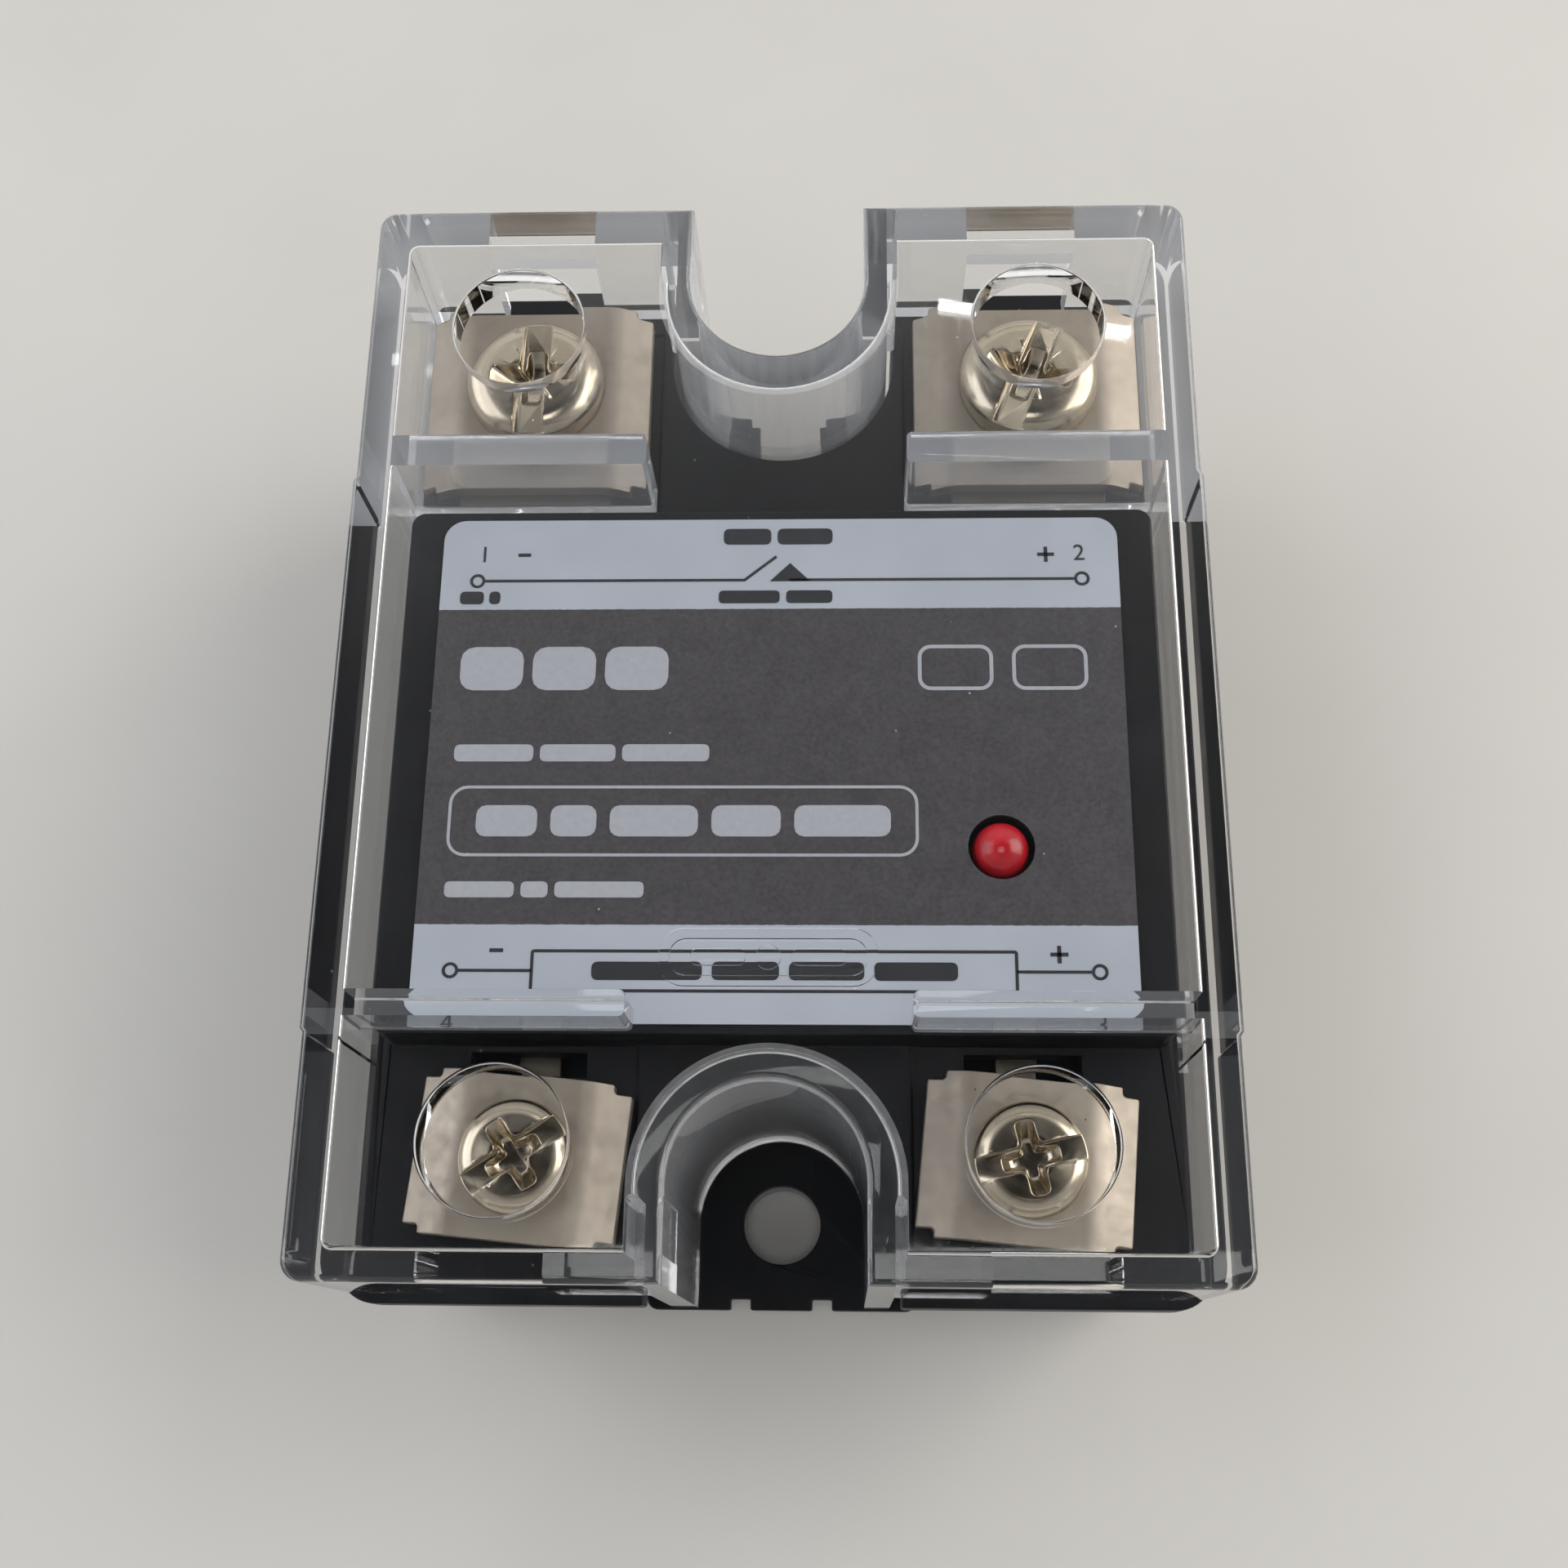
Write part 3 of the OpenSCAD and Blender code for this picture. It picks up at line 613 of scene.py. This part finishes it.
def rail(side, sign):
    """A stiffening rail beside a sleeve."""
    x0, x1, y1 = SLEEVE_R + 0.5, RAIL_X, COVER_L / 2 - 0.5
    cx, cy = side * (x0 + x1) / 2, sign * (RAIL_Y + y1) / 2
    return prism("rail", rounded(cx, cy, x1 - x0, y1 - RAIL_Y, 0.25, 3), RAIL_FOOT, COVER_Z - 0.5)


def driver_hole(x, y):
    """A cutter for a screwdriver hole, with its rim rounded over."""
    profile = [(DRIVER_R, COVER_Z - COVER_TOP - 1)]
    for i in range(5):
        t = math.pi / 2 * i / 4
        profile.append((DRIVER_R + DRIVER_RIM * (1 - math.cos(t)),
                        COVER_Z - DRIVER_RIM * (1 - math.sin(t))))
    profile.append((DRIVER_R + DRIVER_RIM, COVER_Z + 1))
    return lathe("driver_hole", profile, x, y, 96)


def window(side, sign):
    """A cutter for a wire entry in an end wall."""
    y0, y1 = COVER_L / 2 - COVER_WALL - 0.5, COVER_L / 2 + 2
    outline = rounded(side * WINDOW_X, sign * (y0 + y1) / 2, WINDOW_W, y1 - y0, 0.05, 1)
    return prism("window", outline, COVER_FOOT - 1, WINDOW_TOP)


def badge():
    """A raised ring round two bars and a dot, where the moulding carries a mark."""
    z0, z1 = COVER_Z - 0.05, COVER_Z + BADGE_H
    length, depth, band = 10.4, 2.8, 0.5
    ring = prism("badge", rounded(0, BADGE_Y, length, depth, 1.2), z0, z1)
    middle = rounded(0, BADGE_Y, length - 2 * band, depth - 2 * band, 0.8)
    combine(ring, [prism("hollow", middle, z0 - 1, z1 + 1)], "DIFFERENCE")
    bars = [prism("bar", rounded(x, BADGE_Y, 2.6, 0.8, 0.35), z0, z1) for x in (-2.4, 2.4)]
    dot = prism("dot", arc(0, BADGE_Y, 0.6, 0, 360, 32)[:-1], z0, z1)
    return combine(ring, bars + [dot], "UNION")


def clear_cover():
    """The whole moulding: a hollow shell, its partitions, sleeves and rails, then its holes."""
    inner_w, inner_l = COVER_W - 2 * COVER_WALL, COVER_L - 2 * COVER_WALL
    shell = filleted_prism(
        "cover_moulding",
        lambda d: notched(COVER_W, COVER_L, SLEEVE_R, d, COVER_CORNER, COVER_STEP),
        COVER_FOOT, COVER_Z, COVER_FILLET)
    hollow = filleted_prism(
        "hollow", lambda d: notched(inner_w, inner_l, SLEEVE_R + SLEEVE_WALL, d, 0.6),
        COVER_FOOT - 1, COVER_Z - COVER_TOP, 0.25)
    combine(shell, [hollow], "DIFFERENCE")
    extra = [partition(side, *wall) for side in (-1, 1) for wall in (FAR_RIB, NEAR_RIB)]
    extra += [sleeve(sign) for sign in (-1, 1)]
    extra += [rail(side, sign) for side in (-1, 1) for sign in (-1, 1)]
    combine(shell, extra + [badge()], "UNION")
    holes = [driver_hole(side * OUT_X, OUT_Y) for side in (-1, 1)]
    holes += [driver_hole(side * IN_X, -IN_Y) for side in (-1, 1)]
    holes += [window(side, sign) for side in (-1, 1) for sign in (-1, 1)]
    combine(shell, holes, "DIFFERENCE")
    shell.data.materials.clear()
    shell.data.materials.append(CLEAR)
    return smooth(shell, 24)


adopt(clear_cover(), "cover", "cover")


# ---- housing, plate and strips -------------------------------------------------

adopt(eased(from_node("housing", "housing_moulding", BLACK), 0.12), "housing", "housing")
adopt(eased(from_node("base_plate", "base_plate_sheet", PLATE), 0.15), "housing", "base_plate")
for kind in ("output", "input"):
    for side in ("left", "right"):
        strip = from_node(f"{kind}_terminal_{side}", f"{kind}_strip_{side}", STRIP)
        adopt(eased(strip, 0.08), "housing", f"{kind}_terminal_{side}")


# ---- wire clamps ---------------------------------------------------------------

def saddle(name, width, length, hole_r):
    """A pressed sheet clamp: flat middle, a wing bent down each side, notched corners."""
    flat = width / 2 - WING_W
    slope = math.atan2(CLAMP_DROP, WING_W)
    top = [(0.0, CLAMP_TOP)]
    tangent = WING_BEND * math.tan(slope / 2)
    for i in range(7):
        t = slope * i / 6
        top.append((flat - tangent + WING_BEND * math.sin(t),
                    CLAMP_TOP - WING_BEND * (1 - math.cos(t))))
    top.append((width / 2, CLAMP_TOP - CLAMP_DROP))
    under = [(x, z - CLAMP_T) for x, z in reversed(top)]
    section = top + under
    section = section + [(-x, z) for x, z in reversed(section)][1:-1]
    bm = bmesh.new()
    ends = [[bm.verts.new((x * MM, y * MM, z * MM)) for x, z in section]
            for y in (-length / 2, length / 2)]
    count = len(section)
    for i in range(count):
        j = (i + 1) % count
        bm.faces.new((ends[0][i], ends[0][j], ends[1][j], ends[1][i]))
    bm.faces.new(ends[0])
    bm.faces.new(list(reversed(ends[1])))
    sheet = solid(name, bm, STRIP)
    cuts = []
    for x in (-width / 2, width / 2):
        for y in (-length / 2, length / 2):
            corner = rounded(x, y, 2 * CLAMP_NOTCH, CLAMP_NOTCH, 0.2, 3)
            cuts.append(prism("notch", corner, 0, 30))
    cuts.append(lathe("hole", [(hole_r, 0), (hole_r, 30)], 0, 0, 48))
    combine(sheet, cuts, "DIFFERENCE")
    sheet.data.materials.clear()
    sheet.data.materials.append(STRIP)
    return eased(sheet, 0.1, 2, 40)


for sign, side in ((-1, "left"), (1, "right")):
    out_clamp = saddle(f"output_saddle_{side}", *OUT_CLAMP)
    adopt(place(out_clamp, sign * OUT_X, OUT_Y), f"output_clamp_{side}", f"output_clamp_{side}")
    in_clamp = saddle(f"input_saddle_{side}", *IN_CLAMP)
    adopt(place(in_clamp, sign * IN_X, -IN_Y, IN_CLAMP_TURN),
          f"input_clamp_{side}", f"input_clamp_{side}")


# ---- terminal screws -----------------------------------------------------------

def thread_tree():
    """Geometry Nodes: a helical ridge round a core, both as one plain mesh."""
    tree = bpy.data.node_groups.new("screw_thread", "GeometryNodeTree")
    face = tree.interface
    face.new_socket("Geometry", in_out="OUTPUT", socket_type="NodeSocketGeometry")
    for name in ("Core radius", "Ridge", "Pitch", "Length"):
        face.new_socket(name, in_out="INPUT", socket_type="NodeSocketFloat")
    face.new_socket("Finish", in_out="INPUT", socket_type="NodeSocketMaterial")
    given = add(tree, "NodeGroupInput").outputs
    turns = add(tree, "ShaderNodeMath", {0: given["Length"], 1: given["Pitch"]}, operation="DIVIDE")
    helix = add(tree, "GeometryNodeCurveSpiral",
                {"Resolution": 24, "Rotations": turns.outputs[0], "Start Radius": given["Core radius"],
                 "End Radius": given["Core radius"], "Height": given["Length"]})
    ridge = add(tree, "GeometryNodeCurvePrimitiveCircle",
                {"Resolution": 3, "Radius": given["Ridge"]}, mode="RADIUS")
    swept = add(tree, "GeometryNodeCurveToMesh",
                {"Curve": helix.outputs[0], "Profile Curve": ridge.outputs[0], "Fill Caps": True})
    core = add(tree, "GeometryNodeMeshCylinder",
               {"Vertices": 32, "Radius": given["Core radius"], "Depth": given["Length"]})
    half = add(tree, "ShaderNodeMath", {0: given["Length"], 1: 0.5}, operation="MULTIPLY")
    lift = add(tree, "ShaderNodeCombineXYZ", {"Z": half.outputs[0]})
    raised = add(tree, "GeometryNodeTransform",
                 {"Geometry": core.outputs[0], "Translation": lift.outputs[0]})
    joined = add(tree, "GeometryNodeJoinGeometry")
    for part in (swept, raised):
        tree.links.new(part.outputs[0], joined.inputs[0])
    whole = add(tree, "GeometryNodeRealizeInstances", {"Geometry": joined.outputs[0]})
    dressed = add(tree, "GeometryNodeSetMaterial",
                  {"Geometry": whole.outputs[0], "Material": given["Finish"]})
    add(tree, "NodeGroupOutput", {"Geometry": dressed.outputs[0]})
    return tree


THREAD = thread_tree()


def grown(tree, name, **values):
    """A plain mesh object grown by a Geometry Nodes tree, its inputs set by their names."""
    obj = bpy.data.objects.new(name, bpy.data.meshes.new(name))
    bpy.context.scene.collection.objects.link(obj)
    step = obj.modifiers.new("grow", "NODES")
    step.node_group = tree
    for item in tree.interface.items_tree:
        key = item.name.replace(" ", "_").lower()
        if item.in_out == "INPUT" and key in values:
            step[item.identifier] = values[key]
    return bake(obj)


def cross(arm, half_width, fillet):
    """A plus sign's outline with rounded arm ends and rounded inner corners."""
    tip = 0.6 * half_width
    quarter = arc(arm - tip, half_width - tip, tip, 0, 90, 3)
    quarter += arc(half_width + fillet, half_width + fillet, fillet, 270, 180, 5)
    quarter += arc(half_width - tip, arm - tip, tip, 0, 90, 3)
    outline = []
    for c, s in ((1, 0), (0, 1), (-1, 0), (0, -1)):
        outline += [(x * c - y * s, x * s + y * c) for x, y in quarter]
    return outline


def cross_recess(head_r, top, depth):
    """A cutter for a cross recess: a plus that tapers to a small round bottom."""
    levels = ((0.30, 0.10, 0.06, -depth), (0.40, 0.12, 0.10, -0.85 * depth),
              (0.68, 0.17, 0.17, 0.0), (0.74, 0.18, 0.19, 0.3))
    rings = [(cross(arm * head_r, half * head_r, fillet * head_r), top + rise)
             for arm, half, fillet, rise in levels]
    return loft("cross_recess", rings)


def terminal_screw(name, shank_r, head_r, head_h, pitch, turn):
    """A pan-head screw with a slot across a cross recess and a rolled thread."""
    under = CLAMP_TOP + 0.05
    top = under + head_h
    # the head: a flat seat, a short straight side and a domed top
    profile = [(head_r * 0.4, under), (head_r * 0.97, under), (head_r, under + 0.08),
               (head_r, under + head_h * 0.36)]
    for i in range(1, 13):
        t = math.pi / 2 * i / 12
        profile.append((head_r * (0.62 + 0.38 * math.cos(t)),
                        under + head_h * (0.36 + 0.56 * math.sin(t))))
    profile += [(head_r * 0.4, top - head_h * 0.02), (head_r * 0.15, top)]
    head = lathe(name, profile, 0, 0, 72, FASTENER)
    slot = prism("slot", rounded(0, 0, 3 * head_r, 0.42 * head_r, 0.03, 1),
                 top - 0.4 * head_h, top + 1)
    tools = [cross_recess(head_r, top, 0.8 * head_h), slot]
    for tool in tools:
        tool.data.transform(Matrix.Rotation(turn, 4, "Z"))
    combine(head, tools, "DIFFERENCE")
    head.data.materials.clear()
    head.data.materials.append(FASTENER)
    eased(plain_triangles(head), 0.035, 2, 40)
    # the core starts a little above the tip and stops just short of the head
    ridge = 0.28 * pitch
    shank = grown(THREAD, "shank", core_radius=(shank_r - ridge) * MM, ridge=ridge * MM,
                  pitch=pitch * MM, length=(under - SCREW_TIP - 0.5) * MM, finish=FASTENER)
    shank.data.transform(Matrix.Translation((0, 0, (SCREW_TIP + 0.45) * MM)))
    bm = bmesh.new()
    bm.from_mesh(head.data)
    bm.from_mesh(shank.data)
    bpy.data.objects.remove(shank)
    bpy.data.objects.remove(head)
    screw = solid(name, bm, FASTENER)
    return smooth(screw, 34)


for kind, x, y, sizes, turns in (
        ("output", OUT_X, OUT_Y, OUT_SCREW, OUT_TURNS),
        ("input", IN_X, -IN_Y, IN_SCREW, IN_TURNS)):
    for sign, side, turn in ((-1, "left", turns[0]), (1, "right", turns[1])):
        screw = terminal_screw(f"{kind}_pan_head_{side}", *sizes, math.radians(turn))
        adopt(place(screw, sign * x, y), f"{kind}_screw_{side}", f"{kind}_screw_{side}")
        nut = from_node(f"{kind}_nut_{side}", f"{kind}_hex_nut_{side}", FASTENER)
        adopt(eased(nut, 0.1), "housing", f"{kind}_nut_{side}")


# ---- lamp ----------------------------------------------------------------------

def lamp_lens():
    """A 3 mm lamp's body: a flange at its foot, a straight barrel and a round dome."""
    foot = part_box("led_lens")[0].z / MM
    shoulder = LED_TIP - LED_R
    flange_r = LED_R + 0.15
    profile = [(flange_r, foot), (flange_r, foot + 0.9), (flange_r - 0.05, foot + 1),
               (LED_R, foot + 1.02), (LED_R, shoulder)]
    for i in range(1, 13):
        t = math.pi / 2 * i / 12
        profile.append((LED_R * math.cos(t), shoulder + LED_R * math.sin(t)))
    return smooth(lathe("lamp_dome", profile, LED_X, LED_Y, 64, LENS), 40)


adopt(lamp_lens(), "housing", "led_lens")


# ---- label print ---------------------------------------------------------------

class Print:
    """Thin ink shapes on the label, gathered into one piece."""

    def __init__(self):
        self.bm = bmesh.new()
        self.z = LABEL_TOP

    def fill(self, outline):
        """One thin solid of an outline."""
        low = [self.bm.verts.new((x * MM, y * MM, self.z * MM)) for x, y in outline]
        high = [self.bm.verts.new((x * MM, y * MM, (self.z + INK_T) * MM)) for x, y in outline]
        for i in range(len(low)):
            j = (i + 1) % len(low)
            self.bm.faces.new((low[i], low[j], high[j], high[i]))
        self.bm.faces.new(list(reversed(low)))
        self.bm.faces.new(high)

    def ring(self, outer, inner):
        """A thin band between two outlines with as many points each."""
        loops = []
        for outline in (outer, inner):
            for z in (self.z, self.z + INK_T):
                loops.append([self.bm.verts.new((x * MM, y * MM, z * MM)) for x, y in outline])
        out_low, out_high, in_low, in_high = loops
        for i in range(len(outer)):
            j = (i + 1) % len(outer)
            self.bm.faces.new((out_low[i], out_low[j], out_high[j], out_high[i]))
            self.bm.faces.new((in_low[j], in_low[i], in_high[i], in_high[j]))
            self.bm.faces.new((out_high[i], out_high[j], in_high[j], in_high[i]))
            self.bm.faces.new((out_low[j], out_low[i], in_low[i], in_low[j]))

    def line(self, x0, y0, x1, y1, width=0.16):
        """A straight stroke."""
        along = Vector((x1 - x0, y1 - y0)).normalized()
        side = Vector((-along.y, along.x)) * width / 2
        a, b = Vector((x0, y0)), Vector((x1, y1))
        self.fill([tuple(a - side), tuple(b - side), tuple(b + side), tuple(a + side)])

    def circle(self, x, y, radius, width=0.16):
        """A round stroke."""
        self.ring(arc(x, y, radius + width / 2, 0, 360, 32)[:-1],
                  arc(x, y, radius - width / 2, 0, 360, 32)[:-1])

    def frame(self, x0, y0, x1, y1, radius, width):
        """A stroke round a rounded rectangle."""
        cx, cy, w, h = (x0 + x1) / 2, (y0 + y1) / 2, x1 - x0, y1 - y0
        self.ring(rounded(cx, cy, w + width, h + width, radius + width / 2),
                  rounded(cx, cy, w - width, h - width, radius - width / 2))

    def bars(self, x, y, height, widths, gap=0.35):
        """Plain bars in a row from x, in place of words."""
        for width in widths:
            self.fill(rounded(x + width / 2, y, width, height, height * 0.3, 3))
            x += width + gap

    def numeral(self, digit, x, y, height):
        """One terminal number."""
        curve = bpy.data.curves.new("numeral", "FONT")
        curve.body = digit
        curve.size = height * MM * 1.42
        curve.align_x, curve.align_y = "CENTER", "CENTER"
        curve.extrude = INK_T * MM / 2
        curve.resolution_u = 3
        glyph = bpy.data.objects.new("numeral", curve)
        bpy.context.scene.collection.objects.link(glyph)
        graph = bpy.context.evaluated_depsgraph_get()
        data = bpy.data.meshes.new_from_object(glyph.evaluated_get(graph))
        data.transform(Matrix.Translation((x * MM, y * MM, (self.z + INK_T / 2) * MM)))
        self.bm.from_mesh(data)
        bpy.data.objects.remove(glyph)

    def piece(self, name, finish):
        """The gathered shapes as a piece on the housing."""
        return adopt(solid(name, self.bm, finish), "housing")


def dark_print():
    """The two circuit lines: a switch symbol over the outputs, a plain box over the inputs."""
    ink = Print()
    post_x, far_y, near_y = 16.4, 8.65, -13.0
    heading_y, rating_y = 11.25, 7.65
    post_r = 0.34
    line_x = post_x - post_r - 0.08
    for x, y in ((-post_x, far_y), (post_x, far_y), (-post_x, near_y), (post_x, near_y)):
        ink.circle(x, y, post_r)
    ink.line(-line_x, far_y, -1.8, far_y)
    ink.line(-1.85, far_y - 0.03, -0.1, far_y + 1.4)
    ink.line(0.6, far_y, line_x, far_y)
    ink.fill([(-0.45, far_y - 0.08), (1.75, far_y - 0.08), (0.65, far_y + 1.0)])
    box_x, box_h = 12.25, 2.05
    ink.frame(-box_x, near_y - box_h / 2, box_x, near_y + box_h / 2, 0.1, 0.16)
    for side in (-1, 1):
        ink.line(side * line_x, near_y, side * box_x, near_y)
    for x, y in ((-13.9, 10.2), (-14.1, -11.95)):
        ink.line(x - 0.35, y, x + 0.35, y, 0.2)
    for x, y in ((14.5, 10.1), (14.4, -12.1)):
        ink.line(x - 0.45, y, x + 0.45, y, 0.2)
        ink.line(x, y - 0.45, x, y + 0.45, 0.2)
    for digit, x, y in (("1", -16.1, 10.2), ("2", 16.3, 10.15),
                        ("3", post_x, -14.5), ("4", -post_x, -14.5)):
        ink.numeral(digit, x, y, 0.95)
    ink.bars(-3.0, heading_y, 0.95, (2.6, 3.0))
    ink.bars(-17.3, rating_y, 0.75, (1.3, 0.6), 0.3)
    ink.bars(-3.2, rating_y, 0.75, (3.3, 2.5))
    ink.bars(-9.2, near_y, 0.95, (5.6, 3.4, 3.8, 4.2), 0.5)
    return ink.piece("label_circuit_print", DARK_INK)


def pale_print():
    """Plain bars and frames on the dark band, in place of words and marks."""
    ink = Print()
    margin, mark_y, words_y, box_y, foot_y = -17.0, 3.5, -1.3, -5.05, -8.75
    ink.bars(margin, mark_y, 2.5, (3.4, 3.4, 3.4), 0.5)
    for x in (7.6, 12.6):
        ink.frame(x, mark_y - 1.2, x + 3.8, mark_y + 1.2, 0.6, 0.2)
    ink.bars(margin, words_y, 0.95, (4.2, 4.0, 4.6))
    ink.frame(margin, box_y - 1.85, 7.35, box_y + 1.85, 0.9, 0.16)
    ink.bars(margin + 1.4, box_y, 1.7, (3.2, 2.4, 4.6, 3.6, 5.0), 0.7)
    ink.bars(margin, foot_y, 0.85, (3.6, 1.4, 4.6))
    return ink.piece("label_band_print", PALE_INK)


dark_print()
pale_print()


# ---- studio --------------------------------------------------------------------

def studio_floor():
    """A plain table top: pale, faintly cloudy, with a soft sheen."""
    mat, tree, shader, coords = material("pale_table_top")
    tree.links.new(ramp(tree, noise(tree, coords, 30, 3), [(0.3, "#C3C1BC"), (0.7, "#C9C7C2")]),
                   shader.inputs["Base Color"])
    shader.inputs["Roughness"].default_value = 0.5
    half = 900 * MM                # well past the camera's view on every side
    bm = bmesh.new()
    corners = ((-half, -half), (half, -half), (half, half), (-half, half))
    bm.faces.new([bm.verts.new((x, y, 0)) for x, y in corners])
    data = bpy.data.meshes.new("table")
    bm.to_mesh(data)
    bm.free()
    data.materials.append(mat)
    table = bpy.data.objects.new("table", data)
    bpy.context.scene.collection.objects.link(table)


def lamp(name, place_mm, aim_mm, width, height, watts, colour="#FFFFFF"):
    """A soft rectangular lamp turned to face a point."""
    light = bpy.data.lights.new(name, "AREA")
    light.shape = "RECTANGLE"
    light.size, light.size_y = width * MM, height * MM
    light.energy = watts
    light.color = linear(colour)[:3]
    obj = bpy.data.objects.new(name, light)
    bpy.context.scene.collection.objects.link(obj)
    obj.location = Vector(place_mm) * MM
    aim = Vector(aim_mm) * MM - obj.location
    obj.rotation_euler = aim.to_track_quat("-Z", "Y").to_euler()
    return obj


def studio_world():
    """A soft room: pale round the sides, brighter behind, dim straight overhead."""
    world = bpy.data.worlds.new("soft_room")
    world.use_nodes = True
    tree = world.node_tree
    aim = add(tree, "ShaderNodeSeparateXYZ",
              {"Vector": add(tree, "ShaderNodeTexCoord").outputs["Generated"]}).outputs
    height = ramp(tree, aim["Z"], [(0.0, 0.66), (0.6, 0.78), (0.8, 0.5), (0.9, 0.1), (0.97, 0.02)])
    behind = calc(tree, "MULTIPLY_ADD", aim["Y"], 0.45, 1.0)
    back = tree.nodes["Background"]
    tree.links.new(height, back.inputs["Color"])
    tree.links.new(behind, back.inputs["Strength"])
    bpy.context.scene.world = world


def studio_camera():
    """Close over the relay, tipped towards its output end."""
    lens = bpy.data.cameras.new("camera")
    lens.sensor_width = 36
    lens.lens = 41.26              # about 47 degrees across
    lens.clip_start = 0.001
    camera = bpy.data.objects.new("camera", lens)
    bpy.context.scene.collection.objects.link(camera)
    camera.location = Vector((3.76, -33.2, 108.6)) * MM
    camera.rotation_mode = "ZYX"
    camera.rotation_euler = (math.radians(18.78), math.radians(2.025), math.radians(-0.04))
    bpy.context.scene.camera = camera


studio_floor()
studio_world()
studio_camera()
lamp("key", (620, 160, 380), (0, 0, 10), 640, 640, 4.7, "#FFFAF4")
lamp("fill", (-560, 60, 380), (0, 0, 10), 560, 560, 2.0, "#F4F7FF")
lamp("window", (54, 242, 362), (13.4, 21.4, 25.4), 52, 3, 0.009)
# an overhead lamp that reaches the bottom of the mounting holes and leaves no glare on the cover
lamp("overhead", (0, -70, 480), (0, -10, 0), 160, 160, 0.3).visible_glossy = False

bpy.context.scene.view_settings.view_transform = "Standard"
